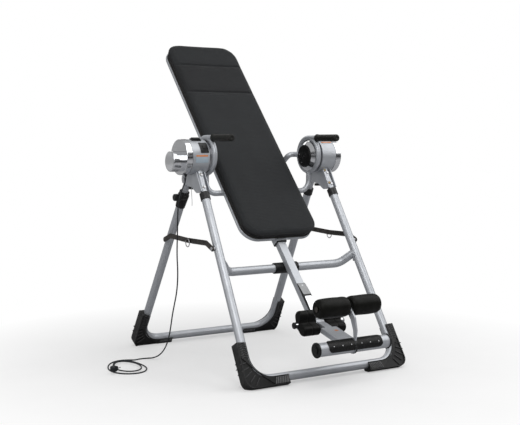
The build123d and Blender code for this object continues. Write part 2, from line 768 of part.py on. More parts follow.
def carrier_plane():
    """A plane along the line from the cup axle to the foot tube."""
    start = bed_point(0, *CUP_AXLE)
    end = bed_point(0, *FOOT_AXIS)
    return Plane(origin=start, x_dir=(1, 0, 0), z_dir=Vector(1, 0, 0).cross(end - start))


def make_foot_carrier():
    """The flat box tube from the cup axle to the foot tube, with the foot tube across its end."""
    reach = (bed_point(0, *FOOT_AXIS) - bed_point(0, *CUP_AXLE)).length
    thickness = 24.0
    neck = 76.0
    with BuildPart() as carrier:
        with BuildSketch(carrier_plane().offset(-thickness / 2)):
            with Locations((0, neck / 2)):
                Rectangle(36.0, neck)
            with Locations((0, neck + (reach - neck) / 2)):
                Rectangle(82.0, reach - neck)
        extrude(amount=thickness)
        fillet(carrier.edges().filter_by(lambda edge: edge.length > 100), 4.0)
        rod(*flat_axis(FOOT_AXIS, 180.0), FOOT_R)
        rod(*flat_axis(FOOT_AXIS, 190.0), FOOT_R - 2.5, mode=Mode.SUBTRACT)
        rod(*flat_axis(CUP_AXLE, 60.0), CUP_AXLE_R + 4.0, mode=Mode.SUBTRACT)
        eye_gap(mode=Mode.SUBTRACT)
    return max(carrier.part.solids(), key=lambda solid: solid.volume)


EYE_R = 33.0              # outside of the clamp arm's eye


def eye_gap(mode):
    """The slot in the carrier round the clamp arm's eye."""
    rod(bed_point(-4.4, *FOOT_AXIS), bed_point(4.4, *FOOT_AXIS), EYE_R + 1.0, FOOT_R, mode=mode)


def make_cup_axle():
    with BuildPart() as axle:
        rod(*flat_axis(CUP_AXLE, 126.0), CUP_AXLE_R, CUP_AXLE_R - 2.0)
    return axle.part


def make_end_plugs():
    """Black plugs in the ends of the cup axle and of the foot tube."""
    pieces = []
    for side in SIDES:
        with BuildPart() as axle_plug:
            rod(bed_point(side * 126.0, *CUP_AXLE), bed_point(side * 132.0, *CUP_AXLE), CUP_AXLE_R + 0.3)
            fillet(axle_plug.edges().filter_by(GeomType.CIRCLE).filter_by(
                lambda edge: abs(edge.center().X) > 131.0), 2.5)
            rod(bed_point(side * 118.0, *CUP_AXLE), bed_point(side * 126.0, *CUP_AXLE), CUP_AXLE_R - 2.0)
        pieces.append(axle_plug.part)
        with BuildPart() as foot_plug:
            rod(bed_point(side * 180.0, *FOOT_AXIS), bed_point(side * 187.0, *FOOT_AXIS), FOOT_R + 3.5)
            fillet(foot_plug.edges().filter_by(GeomType.CIRCLE).filter_by(
                lambda edge: abs(edge.center().X) > 186.0), 3.0)
            rod(bed_point(side * 168.0, *FOOT_AXIS), bed_point(side * 180.0, *FOOT_AXIS), FOOT_R - 2.5)
            rod(bed_point(side * 187.0, *FOOT_AXIS), bed_point(side * 191.0, *FOOT_AXIS), 15.0)
        pieces.append(foot_plug.part)
    return pieces


TREAD_MIDDLE = 38.0      # middle of the treads, up from straight ahead
TREAD_HALF = 62.0
TREAD_REACH = 29.0


def tread_direction(angle_deg):
    angle = math.radians(180.0 - angle_deg)
    return Vector(0, math.cos(angle), math.sin(angle))


def make_tread(side):
    """A ribbed rubber shell on one half of the foot tube."""
    centre = bed_point(0, *FOOT_AXIS)
    with BuildPart() as tread:
        with BuildSketch(Plane.YZ.offset(side * 4.4)):
            with Locations((centre.Y, centre.Z)):
                Circle(FOOT_R + 4.5)
                Circle(FOOT_R, mode=Mode.SUBTRACT)
            with BuildLine():
                rim = [tread_direction(TREAD_MIDDLE + turn * TREAD_HALF) * 70 for turn in (-1, 0, 1)]
                Polyline(
                    (centre.Y, centre.Z),
                    *[(centre.Y + point.Y, centre.Z + point.Z) for point in rim],
                    close=True,
                )
            make_face(mode=Mode.INTERSECT)
        extrude(amount=side * 134.0)
        out = tread_direction(TREAD_MIDDLE)
        with BuildSketch(Plane(origin=centre + out * 20, x_dir=(1, 0, 0), z_dir=out)) as plan:
            with Locations((side * 71.4, 0)):
                Rectangle(134.0, 70.0)
            with Locations((side * 51.4, 0)):
                RectangleRounded(174.0, 2 * TREAD_REACH, 19.0, mode=Mode.SUBTRACT)
        extrude(plan.sketch, amount=30.0, mode=Mode.SUBTRACT)
    return tread.part


def make_boom_screws():
    """Three studs in each tread and one screw in the guard."""
    centre = bed_point(0, *FOOT_AXIS)
    out = tread_direction(24.0)
    pieces = []
    for x in (-116.0, -71.0, -27.0, 27.0, 71.0, 116.0):
        base = Vector(x, centre.Y, centre.Z) + out * (FOOT_R + 4.5)
        with BuildPart() as stud:
            rod(base, base + out * 0.8, 2.4)
        pieces.append(stud.part)
    with BuildPart() as screw:
        rod(bed_point(0, COVER_SCREW, -112.0), bed_point(0, COVER_SCREW, -105.4), 3.5)
    pieces.append(screw.part)
    return pieces


CUP_LOBES = (((30.0, 27.0), 22.0), ((-39.0, 13.0), 23.0))


def make_ankle_cup(side):
    """A moulded cradle behind one ankle, hollow in front, free on its axle."""
    start = bed_point(side * 24.0, *CUP_AXLE)
    with BuildPart() as cup:
        with BuildSketch(Plane(origin=start, x_dir=BED.y_dir, z_dir=(side, 0, 0))) as cup_waist:
            for lobe, lobe_r in CUP_LOBES:
                place = (lobe[0], lobe[1] * cup_sign(side))
                with BuildSketch(mode=Mode.PRIVATE) as bridge:
                    Circle(21.0)
                    with Locations(place):
                        Circle(lobe_r - 6.0)
                    make_hull()
                add(bridge.sketch)
                with Locations(place):
                    Circle(lobe_r)
            fillet(cup_waist.vertices(), 5.0)
        extrude(amount=88.0)
        rod(bed_point(side * 20.0, *CUP_AXLE), bed_point(side * 120.0, *CUP_AXLE), CUP_AXLE_R + RUN_FIT,
            mode=Mode.SUBTRACT)
    return cup.part


def cup_sign(side):
    """Which way the bed's front lies on a plane that faces one side."""
    plane = Plane(origin=(0, 0, 0), x_dir=BED.y_dir, z_dir=(side, 0, 0))
    return 1 if plane.y_dir.dot(BED.z_dir) > 0 else -1


def make_clamp_arm():
    """The curved blade from the foot tube to the roller axle."""
    half = 3.7
    plane = Plane(origin=bed_point(-half, 0, 0), x_dir=BED.y_dir, z_dir=(1, 0, 0))
    sign = cup_sign(1)
    stations = [(ROLLER_AXIS, 14.0), ((-975.0, 110.0), 14.5), ((-1020.0, 90.0), 11.0)]
    stations.append(((-1050.0, 62.0), 6.0))
    with BuildPart() as arm:
        with BuildSketch(plane) as blade:
            for (first, first_r), (second, second_r) in zip(stations, stations[1:]):
                with BuildSketch(plane, mode=Mode.PRIVATE) as hull:
                    with Locations((first[0], sign * first[1])):
                        Circle(first_r)
                    with Locations((second[0], sign * second[1])):
                        Circle(second_r)
                    make_hull()
                add(hull.sketch_local)
            with Locations((FOOT_AXIS[0], sign * FOOT_AXIS[1])):
                Circle(EYE_R)
                Circle(FOOT_R + RUN_FIT, mode=Mode.SUBTRACT)
            with Locations((ROLLER_AXIS[0], sign * ROLLER_AXIS[1])):
                Circle(ROLLER_AXLE_R, mode=Mode.SUBTRACT)
        extrude(amount=2 * half)
    return arm.part


def make_roller_axle():
    with BuildPart() as axle:
        rod(*flat_axis(ROLLER_AXIS, ROLLER_END + 0.5), ROLLER_AXLE_R)
        for side in SIDES:
            cap = side * (ROLLER_END + 0.5)
            rod(bed_point(cap, *ROLLER_AXIS), bed_point(cap + side * 3.0, *ROLLER_AXIS), 12.0)
    return axle.part


ROLLER_SHAPE = [
    (ROLLER_END, 31.0), (149.0, 38.5), (130.0, 41.6), (84.0, 42.8), (40.0, 42.0), (14.0, 40.0), (5.0, 35.0),
]


def make_roller(side):
    """A barrel-shaped foam roll."""
    mid = bed_point(0, *ROLLER_AXIS)
    section = Plane(origin=mid, x_dir=(1, 0, 0), z_dir=(0, -1, 0))
    with BuildPart() as roller:
        with BuildSketch(section):
            with BuildLine():
                Polyline((side * 5, 35), (side * 5, 9), (side * ROLLER_END, 9), (side * ROLLER_END, 31))
                Spline(*[(side * x, r) for x, r in ROLLER_SHAPE])
            make_face()
        revolve(axis=Axis((0, mid.Y, mid.Z), (1, 0, 0)))
        bore = ROLLER_AXLE_R + RUN_FIT
        rod((side * 4, mid.Y, mid.Z), (side * 170, mid.Y, mid.Z), bore, mode=Mode.SUBTRACT)
        rod((side * 5, mid.Y, mid.Z), (side * ROLLER_END, mid.Y, mid.Z), 9.0, ROLLER_AXLE_R + RUN_FIT)
    return roller.part


# ---------------------------------------------------------------- side links
def link_outline(points, half_height):
    """A flat bar of even height along a bent centre line, with round ends."""
    for first, second in zip(points, points[1:]):
        length = math.hypot(second[0] - first[0], second[1] - first[1])
        angle = math.degrees(math.atan2(second[1] - first[1], second[0] - first[0]))
        middle = ((first[0] + second[0]) / 2, (first[1] + second[1]) / 2)
        with Locations(Location((middle[0], middle[1], 0), (0, 0, angle))):
            SlotOverall(length + 2 * half_height, 2 * half_height)


def rivet_place(end):
    if end < 0:
        rivet = leg_point(1, -1, FRONT_RIVET_Z)
    else:
        rivet = leg_point(1, 1, REAR_RIVET_Z)
    return rivet.Y, rivet.Z


def make_link(side, end):
    """A side link: the front one lies inside the rear one at their joint."""
    rivet = rivet_place(end)
    knee = (-162.0, 573.0) if end < 0 else (176.0, 578.0)
    layer = -LINK_T / 2 if end < 0 else 0.1
    with BuildPart() as link:
        with BuildSketch(Plane.YZ.offset(side * (LINK_X + layer))):
            link_outline([rivet, knee, LINK_JOINT], 11.5)
            with Locations(LINK_JOINT):
                Circle(4.0 + (0 if end < 0 else RUN_FIT), mode=Mode.SUBTRACT)
            if end < 0:
                with Locations(rivet):
                    Circle(4.0 + RUN_FIT, mode=Mode.SUBTRACT)
        extrude(amount=side * (LINK_T / 2 - 0.1))
        if end < 0:
            with BuildSketch(Plane.YZ.offset(side * (LINK_X - LINK_T / 2))):
                link_outline([rivet, knee, (-40.0, 571.4)], 11.5)
                with Locations(rivet):
                    Circle(4.0 + RUN_FIT, mode=Mode.SUBTRACT)
            extrude(amount=side * LINK_T)
            rod((side * (LINK_X - LINK_T / 2), *LINK_JOINT), (side * (LINK_X + 9.0), *LINK_JOINT), 4.0)
            rod((side * (LINK_X + 9.0), *LINK_JOINT), (side * (LINK_X + 11.5), *LINK_JOINT), 7.0)
    return link.part


def make_pull_ring(side):
    """The wire ring that hangs on a link joint's pin."""
    wire = 2.2
    mean = 17.4
    drop = mean - wire - 4.0 - 0.3
    x = side * (LINK_X + LINK_T / 2 + 3.2)
    with BuildPart() as ring:
        with Locations(Location((x, LINK_JOINT[0], LINK_JOINT[1] - drop), (0, 90, 0))):
            Torus(mean, wire)
    return ring.part


def make_link_studs():
    """Short bosses on the rear legs where the rear links end, with a gap left open."""
    pieces = []
    for side in SIDES:
        place = leg_point(side, 1, REAR_RIVET_Z)
        with BuildPart() as stud:
            rod((place.X, place.Y, place.Z), (side * (LINK_X - LINK_T / 2 - 1.2), place.Y, place.Z), 8.0)
            add(make_leg_core(side, 1), mode=Mode.SUBTRACT)
        pieces.append(max(stud.part.solids(), key=lambda solid: solid.volume))
    return pieces


# ---------------------------------------------------------------- lock knob
KNOB_Z = 761.0
KNOB_FORWARD = 27.0      # knob axis in front of the leg's own axis


def knob_point(x):
    """A point on the knob's axis, out from the leg."""
    leg = leg_point(-1, 1, KNOB_Z)
    return Vector(leg.X - x, leg.Y - KNOB_FORWARD, leg.Z)


def make_lock_sleeve():
    """The black clamp on top of the left rear leg, with the lock knob's housing."""
    low = leg_point(-1, 1, 716.0)
    high = leg_point(-1, 1, 772.0)
    lip = leg_point(-1, 1, LEG_TOP_Z + 0.2)
    top = leg_point(-1, 1, LEG_TOP_Z + 3.5)
    axis = high - low
    with BuildPart() as sleeve:
        with BuildSketch(Plane(origin=low, z_dir=axis)) as foot:
            Circle(22.3)
        with BuildSketch(Plane(origin=high, z_dir=axis)) as head:
            Circle(26.5)
        loft([foot.sketch, head.sketch])
        rod(high, top, 23.5)
        rod(knob_point(4.0), knob_point(25.5), 14.5)
        rod(low, lip, LEG_R, mode=Mode.SUBTRACT)
        rod(lip, top, STUB_R, mode=Mode.SUBTRACT)
        rod(knob_point(6.0), knob_point(40.0), 5.0 + RUN_FIT, mode=Mode.SUBTRACT)
    return max(sleeve.part.solids(), key=lambda solid: solid.volume)


def make_lock_knob():
    """The pull knob: a pin and a long round head along X."""
    with BuildPart() as knob:
        rod(knob_point(8.0), knob_point(26.0), 5.0)
        rod(knob_point(26.0), knob_point(62.0), 16.5)
        fillet(knob.edges().filter_by(GeomType.CIRCLE).sort_by(SortBy.RADIUS)[-2:], 5.0)
    return knob.part


# ---------------------------------------------------------------- power cord
CORD_POINTS = [
    (-400, 6, 862), (-400, 6, 838), (-418, 4, 806), (-434, 2, 768), (-441, 4, 722), (-440, 10, 668),
    (-437, 18, 612), (-437, 22, 556), (-441, 16, 498), (-445, 2, 442), (-446, 2, 388), (-442, 20, 334),
    (-438, 48, 282), (-437, 72, 228), (-438, 86, 172), (-442, 98, 118), (-447, 122, 68),
    (-456, 156, 30), (-470, 196, 8), (-494, 226, 3.2), (-526, 232, 3.0), (-556, 222, 3.0),
]


def cord_bends(points):
    """The largest arc that each corner of the cord's route leaves room for."""
    corners = []
    for before, corner, after in zip(points, points[1:], points[2:]):
        first = Vector(*corner) - Vector(*before)
        second = Vector(*after) - Vector(*corner)
        half_turn = math.radians(first.get_angle(second)) / 2
        corners.append(0.45 * min(first.length, second.length) / math.tan(half_turn))
    return corners


def make_cord():
    """The free power cord from its gland to the coil."""
    bends = cord_bends(CORD_POINTS)
    cord = swept_tube([Vector(*point) for point in CORD_POINTS], bends, CORD_R)
    return cord, bends


def coil_plane(height):
    return Plane(
        origin=(COIL_CENTRE[0], COIL_CENTRE[1], height),
        x_dir=(math.cos(math.radians(COIL_TURN)), math.sin(math.radians(COIL_TURN)), 0),
        z_dir=(0, 0, 1),
    )


def make_coil():
    """The outer shape of the loose turns on the floor."""
    with BuildPart() as coil:
        with BuildSketch(coil_plane(0.0)):
            Ellipse(172.0, 110.0)
            Ellipse(118.0, 58.0, mode=Mode.SUBTRACT)
        extrude(amount=COIL_H)
    return coil.part


def make_gland():
    """The tapered strain relief under the left drum."""
    with BuildPart() as gland:
        rod((-400, 6, 862), (-400, 6, 880), CORD_R + 3.5)
        rod((-400, 6, 862), (-400, 6, 869), CORD_R + 5.5)
        hub_disc(-1, 380.0, 430.0, DRUM_R + 0.5, mode=Mode.SUBTRACT)
    return max(gland.part.solids(), key=lambda solid: solid.volume)


def make_plug():
    """The mains plug lying on the coil, with two round pins."""
    place = Plane(origin=(-745, 28, COIL_H), x_dir=(0.9, 0.44, 0), z_dir=(0, 0, 1))
    with BuildPart() as plug:
        with BuildSketch(place):
            with Locations((-4, 0)):
                RectangleRounded(34, 26, 7)
        extrude(amount=22.0)
        fillet(plug.edges().filter_by(Axis.Z, reverse=True), 3.0)
        with BuildSketch(Plane(origin=place.origin + place.x_dir * 13 + Vector(0, 0, 11), x_dir=place.y_dir,
                               z_dir=place.x_dir)):
            with Locations((-7, 0), (7, 0)):
                Circle(2.2)
        extrude(amount=19.0)
    return plug.part


# ---------------------------------------------------------------- build
def build_frame():
    front_tube = make_frame_tube(-1)
    finish([front_tube], "front_frame_tube")
    front_core = make_cap_core(-1)
    finish([make_foot_cap(side, -1, front_core) for side in SIDES], "front_foot_caps")
    finish([make_collar(side, -1) for side in SIDES], "front_collars")
    finish([make_crossbar(front_core)], "crossbar")
    finish([make_crossbar_bumper()], "crossbar_bumper")
    finish([make_bracket(side) for side in SIDES], "hub_brackets")
    finish(make_fasteners(), "frame_fasteners")
    finish([make_fold_stop(side) for side in SIDES], "fold_stops")


def build_drums():
    finish([make_drum_shell(side) for side in SIDES], "drum_shells")
    finish([make_end_cap(side) for side in SIDES] + [make_motor_cap()], "drum_end_caps")
    finish([make_motor_body()], "motor_body")
    finish(make_bearings(), "shaft_bearings")
    finish([make_switch_panel(), make_button_base()], "switch_panel")
    finish([make_power_rocker()], "power_rocker")
    finish([make_stop_button()], "stop_button")
    finish([make_motor_pinion()], "motor_pinion")


def build_rear_frame():
    finish([make_frame_tube(1)], "rear_frame_tube")
    rear_core = make_cap_core(1)
    finish([make_foot_cap(side, 1, rear_core) for side in SIDES], "rear_foot_caps")
    finish([make_collar(1, 1), make_lock_sleeve()], "rear_collars")
    finish([make_rear_stub(side) for side in SIDES], "rear_stubs")
    finish(make_link_studs(), "rear_link_studs")
    finish([make_lock_knob()], "lock_knob")


def build_links():
    for side, word in ((-1, "left"), (1, "right")):
        finish([make_link(side, -1)], f"{word}_front_link")
        finish([make_link(side, 1)], f"{word}_rear_link")
        finish([make_pull_ring(side)], f"{word}_pull_ring")


def build_bed():
    rail_core = make_rail_core()
    finish([make_hub_shaft(side) for side in SIDES], "hub_shafts")
    finish([make_ring_gear()], "ring_gear")
    finish([make_handle_ring(side) for side in SIDES], "handle_rings")
    finish([make_grip(side) for side in SIDES], "hand_grips")
    finish([make_hub_bell(side) for side in SIDES], "hub_bells")
    finish([make_hub_disc(side) for side in SIDES], "hub_discs")
    finish(make_disc_screws(), "disc_screws")
    finish([make_cross_arm()], "cross_arm")
    finish([make_side_arm(side, rail_core) for side in SIDES], "side_arms")
    finish([make_bed_rail()], "bed_rail")
    finish([make_bed_slab(BOARD_BACK, PAD_BACK - 0.02, 1.0)], "bed_board")
    finish([make_bed_slab(PAD_BACK, PAD_FRONT, 0.0)], "bed_pad")
    finish([make_boom_socket(make_arm_core())], "boom_socket")
    finish([make_socket_bush()], "socket_bush")
    finish([make_height_pin()], "height_pin")


def build_boom():
    finish([make_boom()], "boom_tube")
    finish([make_boom_cover()], "boom_cover")
    finish([make_foot_carrier()], "foot_carrier")
    finish([make_cup_axle()], "cup_axle")
    finish(make_end_plugs(), "end_plugs")
    finish([make_tread(side) for side in SIDES], "foot_treads")
    finish(make_boom_screws(), "boom_screws")
    finish([make_ankle_cup(-1)], "left_ankle_cup")
    finish([make_ankle_cup(1)], "right_ankle_cup")
    finish([make_clamp_arm()], "clamp_arm")
    finish([make_roller_axle()], "roller_axle")
    finish([make_roller(-1)], "left_roller")
    finish([make_roller(1)], "right_roller")


def build_cord():
    cord, bends = make_cord()
    print("cord bend radii, mm:", [round(radius) for radius in bends])
    path_length = cord.volume / (math.pi * CORD_R ** 2)
    print("cord volume", round(cord.volume), "mm3, as a length", round(path_length), "mm")
    finish([cord], "power_cord")
    finish([make_coil()], "cord_coil")
    finish([make_gland()], "cord_gland")
    finish([make_plug()], "power_plug")


os.makedirs("parts", exist_ok=True)
build_frame()
build_drums()
build_rear_frame()
build_links()
build_bed()
build_boom()
build_cord()
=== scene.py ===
import bpy, bmesh, json, math
from mathutils import Matrix, Vector, noise
from mathutils.bvhtree import BVHTree


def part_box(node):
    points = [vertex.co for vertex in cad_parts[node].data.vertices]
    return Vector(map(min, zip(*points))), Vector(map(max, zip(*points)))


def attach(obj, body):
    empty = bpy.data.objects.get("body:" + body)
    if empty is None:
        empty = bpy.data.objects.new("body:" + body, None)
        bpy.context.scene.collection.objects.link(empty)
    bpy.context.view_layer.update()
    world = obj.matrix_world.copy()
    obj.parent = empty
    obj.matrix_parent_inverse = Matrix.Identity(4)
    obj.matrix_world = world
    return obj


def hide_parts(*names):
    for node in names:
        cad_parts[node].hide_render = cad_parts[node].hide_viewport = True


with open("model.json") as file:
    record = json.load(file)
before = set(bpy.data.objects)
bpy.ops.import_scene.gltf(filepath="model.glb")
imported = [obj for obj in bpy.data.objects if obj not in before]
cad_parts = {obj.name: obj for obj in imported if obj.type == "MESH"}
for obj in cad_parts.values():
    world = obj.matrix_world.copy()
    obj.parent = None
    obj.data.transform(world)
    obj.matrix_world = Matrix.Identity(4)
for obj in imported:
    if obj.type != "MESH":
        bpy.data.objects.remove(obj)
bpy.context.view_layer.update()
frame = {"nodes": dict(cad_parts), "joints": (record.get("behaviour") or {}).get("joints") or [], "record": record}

# ---------------------------------------------------------------- places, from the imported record
JOINTS = {joint["name"]: joint for joint in frame["joints"]}


def joint_place(name):
    return Vector(JOINTS[name]["pos_m"])


ACROSS = Vector((1, 0, 0))
UP = Vector((0, 0, 1))
HUB = joint_place("bed_tilt")
MIDDLE_X = HUB.x
ALONG = -Vector(JOINTS["boom_slide"]["axis"]).normalized()
FRONT = ACROSS.cross(ALONG)
FOOT = joint_place("clamp_swing")
ROLL = joint_place("left_roller_spin")
CUP = joint_place("left_cup_turn")
SIDES = (-1, 1)
SIDE_WORDS = ((-1, "left"), (1, "right"))


def bed(x, along, front):
    """A point of the bed: across, towards the head, out of its front, in metres from the hub axis."""
    return Vector((MIDDLE_X + x, HUB.y, HUB.z)) + ALONG * along + FRONT * front


def bed_of(point):
    local = point - Vector((MIDDLE_X, HUB.y, HUB.z))
    return Vector((local.x, local.dot(ALONG), local.dot(FRONT)))


# ---------------------------------------------------------------- materials
PATTERNS = {
    "noise": ("ShaderNodeTexNoise", "Fac"),
    "cells": ("ShaderNodeTexVoronoi", "Distance"),
    "waves": ("ShaderNodeTexWave", "Fac"),
}


def new_material(name):
    mat = bpy.data.materials.new(name)
    mat.use_nodes = True
    tree = mat.node_tree
    return mat, tree, tree.nodes["Principled BSDF"]


def texture(tree, kind, scale, **values):
    """A pattern's output, in the object's own coordinates; an input's name has _ for each space."""
    node_type, output = PATTERNS[kind]
    coords = tree.nodes.get("coords") or tree.nodes.new("ShaderNodeTexCoord")
    coords.name = "coords"
    node = tree.nodes.new(node_type)
    node.inputs["Scale"].default_value = scale
    for key, value in values.items():
        node.inputs[key.replace("_", " ")].default_value = value
    tree.links.new(coords.outputs["Object"], node.inputs["Vector"])
    return node.outputs[output]


def mix_colour(tree, low, high, factor, low_at=0.35, high_at=0.65, ramp=None):
    ramp = ramp or tree.nodes.new("ShaderNodeValToRGB")
    for stop, colour, place in zip(ramp.color_ramp.elements, (low, high), (low_at, high_at)):
        stop.position = place
        stop.color = (*colour, 1)
    tree.links.new(factor, ramp.inputs["Fac"])
    return ramp.outputs["Color"]


def value_range(tree, source, low, high, from_low=0.0, from_high=1.0):
    node = tree.nodes.new("ShaderNodeMapRange")
    for key, value in (("From Min", from_low), ("From Max", from_high), ("To Min", low), ("To Max", high)):
        node.inputs[key].default_value = value
    tree.links.new(source, node.inputs["Value"])
    return node.outputs["Result"]


def calculate(tree, operation, *sources):
    node = tree.nodes.new("ShaderNodeMath")
    node.operation = operation
    for source, socket in zip(sources, node.inputs):
        tree.links.new(source, socket)
    return node.outputs[0]


def blend(tree, factor, low, high, method="MIX"):
    """A mix of two colours, each of them an output or a fixed colour."""
    node = tree.nodes.new("ShaderNodeMix")
    node.data_type = "RGBA"
    node.blend_type = method
    tree.links.new(factor, node.inputs[0])
    for socket, colour in ((6, low), (7, high)):
        if isinstance(colour, tuple):
            node.inputs[socket].default_value = (*colour, 1)
        else:
            tree.links.new(colour, node.inputs[socket])
    return node.outputs[2]


def bump(tree, shader, height, distance, strength, after=None):
    node = tree.nodes.new("ShaderNodeBump")
    node.inputs["Distance"].default_value = distance
    node.inputs["Strength"].default_value = strength
    tree.links.new(height, node.inputs["Height"])
    if after is not None:
        tree.links.new(after, node.inputs["Normal"])
    tree.links.new(node.outputs["Normal"], shader.inputs["Normal"])
    return node.outputs["Normal"]


def surface(tree, shader, colour, rough, **values):
    """Links the colour and the roughness, and sets the shader's plain values."""
    tree.links.new(colour, shader.inputs["Base Color"])
    tree.links.new(rough, shader.inputs["Roughness"])
    for key, value in values.items():
        shader.inputs[key.replace("_", " ")].default_value = value


def scaled(colour, factor):
    return tuple(c * factor for c in colour)


def wear(tree, colour, bare, amount):
    """Lighter or barer colour on the edges, broken up by a coarse noise."""
    geometry = tree.nodes.new("ShaderNodeNewGeometry")
    patches = texture(tree, "noise", 60.0, Detail=6.0)
    edge = value_range(tree, geometry.outputs["Pointiness"], 0.0, amount, 0.53, 0.62)
    broken = value_range(tree, patches, 0.2, 1.4, 0.35, 0.65)
    return blend(tree, calculate(tree, "MULTIPLY", edge, broken), colour, bare)


def silver_paint(name):
    mat, tree, shader = new_material(name)
    base = (0.50, 0.52, 0.55)
    flakes = texture(tree, "cells", 1600.0)
    drift = texture(tree, "noise", 9.0, Detail=4.0)
    clouds = texture(tree, "noise", 26.0, Detail=6.0)
    flaked = mix_colour(tree, scaled(base, 0.90), scaled(base, 1.06), flakes, 0.1, 0.7)
    scuffed = blend(tree, value_range(tree, clouds, 0.0, 0.30, 0.45, 0.75), flaked, (0.62, 0.63, 0.65))
    surface(tree, shader, scuffed, value_range(tree, drift, 0.37, 0.50, 0.3, 0.7),
            Metallic=0.55, Coat_Weight=0.22, Coat_Roughness=0.30)
    bump(tree, shader, texture(tree, "noise", 180.0, Detail=2.0), 0.00003, 0.15)
    return mat


def bright_metal(name, base=(0.80, 0.81, 0.83), rough=0.09, brushed=False):
    mat, tree, shader = new_material(name)
    smears = texture(tree, "noise", 22.0, Detail=6.0, Roughness=0.6)
    colour = mix_colour(tree, scaled(base, 0.93), base, smears, 0.3, 0.6)
    surface(tree, shader, colour, value_range(tree, smears, rough, rough * 2.1, 0.35, 0.75), Metallic=1.0)
    if brushed:
        bump(tree, shader, texture(tree, "waves", 900.0, Distortion=6.0, Detail=3.0), 0.00006, 0.5)
    else:
        bump(tree, shader, texture(tree, "noise", 700.0, Detail=3.0), 0.00004, 0.25)
    return mat


def moulded(name, base, rough, grain, depth, dust, metallic=0.0):
    mat, tree, shader = new_material(name)
    cloud = texture(tree, "noise", 14.0, Detail=8.0, Roughness=0.62)
    colour = mix_colour(tree, base, scaled(base, 1.5), cloud, 0.35, 0.7)
    surface(tree, shader, wear(tree, colour, dust, 0.55),
            value_range(tree, cloud, rough - 0.06, rough + 0.10, 0.3, 0.7),
            Specular_IOR_Level=0.30, Metallic=metallic)
    bump(tree, shader, texture(tree, "cells", grain), depth, 0.55)
    return mat


def foam(name, base=(0.0036, 0.0036, 0.0028)):
    mat, tree, shader = new_material(name)
    cloud = texture(tree, "noise", 30.0, Detail=9.0, Roughness=0.7)
    surface(tree, shader, mix_colour(tree, base, scaled(base, 1.8), cloud, 0.4, 0.75),
            value_range(tree, cloud, 0.36, 0.50),
            Specular_IOR_Level=0.12, Sheen_Weight=0.03, Sheen_Roughness=0.5)
    pores = bump(tree, shader, texture(tree, "cells", 900.0, Randomness=1.0), 0.0002, 0.5)
    bump(tree, shader, texture(tree, "noise", 75.0, Detail=4.0), 0.0008, 0.25, pores)
    return mat


def woven(name, base=(0.0135, 0.0148, 0.0163), light=(0.0270, 0.0295, 0.0320), pitch=0.0011, rough=0.78):
    """A plain weave in the bed's own directions, with slubs and lint."""
    mat, tree, shader = new_material(name)
    cloud = texture(tree, "noise", 16.0, Detail=8.0, Roughness=0.65)
    lint = texture(tree, "noise", 480.0, Detail=3.0)
    crease = texture(tree, "noise", 24.0, Detail=3.0, Distortion=0.6)
    turn = tree.nodes.new("ShaderNodeMapping")
    turn.inputs["Rotation"].default_value = (math.atan2(-FRONT.y, FRONT.z), 0, 0)
    tree.links.new(tree.nodes["coords"].outputs["Object"], turn.inputs["Vector"])
    threads = []
    for axis in ("X", "Y"):
        wave = tree.nodes.new("ShaderNodeTexWave")
        wave.bands_direction = axis
        wave.inputs["Scale"].default_value = 1 / (math.pi * pitch)
        wave.inputs["Distortion"].default_value = 0.35
        wave.inputs["Detail"].default_value = 1.0
        tree.links.new(turn.outputs["Vector"], wave.inputs["Vector"])
        threads.append(wave.outputs["Fac"])
    weave = calculate(tree, "MULTIPLY", *threads)
    relief = calculate(
        tree, "ADD", value_range(tree, weave, 0.0, 0.55), value_range(tree, lint, 0.0, 0.45, 0.3, 0.7))
    fibre = mix_colour(tree, base, light, relief, 0.15, 0.9)
    stain = value_range(tree, cloud, 0.0, 0.5, 0.35, 0.7)
    surface(tree, shader, blend(tree, stain, fibre, (0.72, 0.72, 0.74), "MULTIPLY"),
            value_range(tree, lint, rough - 0.06, rough + 0.1),
            Sheen_Weight=0.12, Sheen_Roughness=0.4, Specular_IOR_Level=0.33)
    woven_bump = bump(tree, shader, weave, 0.00035, 0.6)
    bump(tree, shader, crease, 0.0022, 0.30, woven_bump)
    return mat


def plywood(name):
    mat, tree, shader = new_material(name)
    rings = texture(tree, "waves", 14.0, Distortion=9.0, Detail=4.0, Detail_Scale=1.6)
    fibre = texture(tree, "noise", 260.0, Detail=5.0)
    colour = mix_colour(tree, (0.010, 0.009, 0.008), (0.020, 0.018, 0.016), rings, 0.2, 0.8)
    surface(tree, shader, wear(tree, colour, (0.05, 0.045, 0.04), 0.4), value_range(tree, fibre, 0.5, 0.75))
    bump(tree, shader, fibre, 0.0003, 0.4)
    return mat


def cast_paint(name, base=(0.05, 0.05, 0.055)):
    mat, tree, shader = new_material(name)
    sand = texture(tree, "noise", 500.0, Detail=5.0)
    colour = mix_colour(tree, base, scaled(base, 1.6), texture(tree, "noise", 18.0, Detail=5.0))
    surface(tree, shader, wear(tree, colour, (0.3, 0.3, 0.3), 0.4), value_range(tree, sand, 0.4, 0.6),
            Metallic=0.3)
    bump(tree, shader, sand, 0.0003, 0.6)
    return mat


def label_print(name, base, rough=0.35):
    mat, tree, shader = new_material(name)
    fade = texture(tree, "noise", 70.0, Detail=5.0)
    colour = mix_colour(tree, scaled(base, 0.88), base, fade, 0.3, 0.6)
    bare = tuple(0.5 * c + 0.25 for c in base)
    surface(tree, shader, wear(tree, colour, bare, 0.4), value_range(tree, fade, rough, rough + 0.15))
    bump(tree, shader, texture(tree, "cells", 2600.0), 0.00002, 0.4)
    return mat


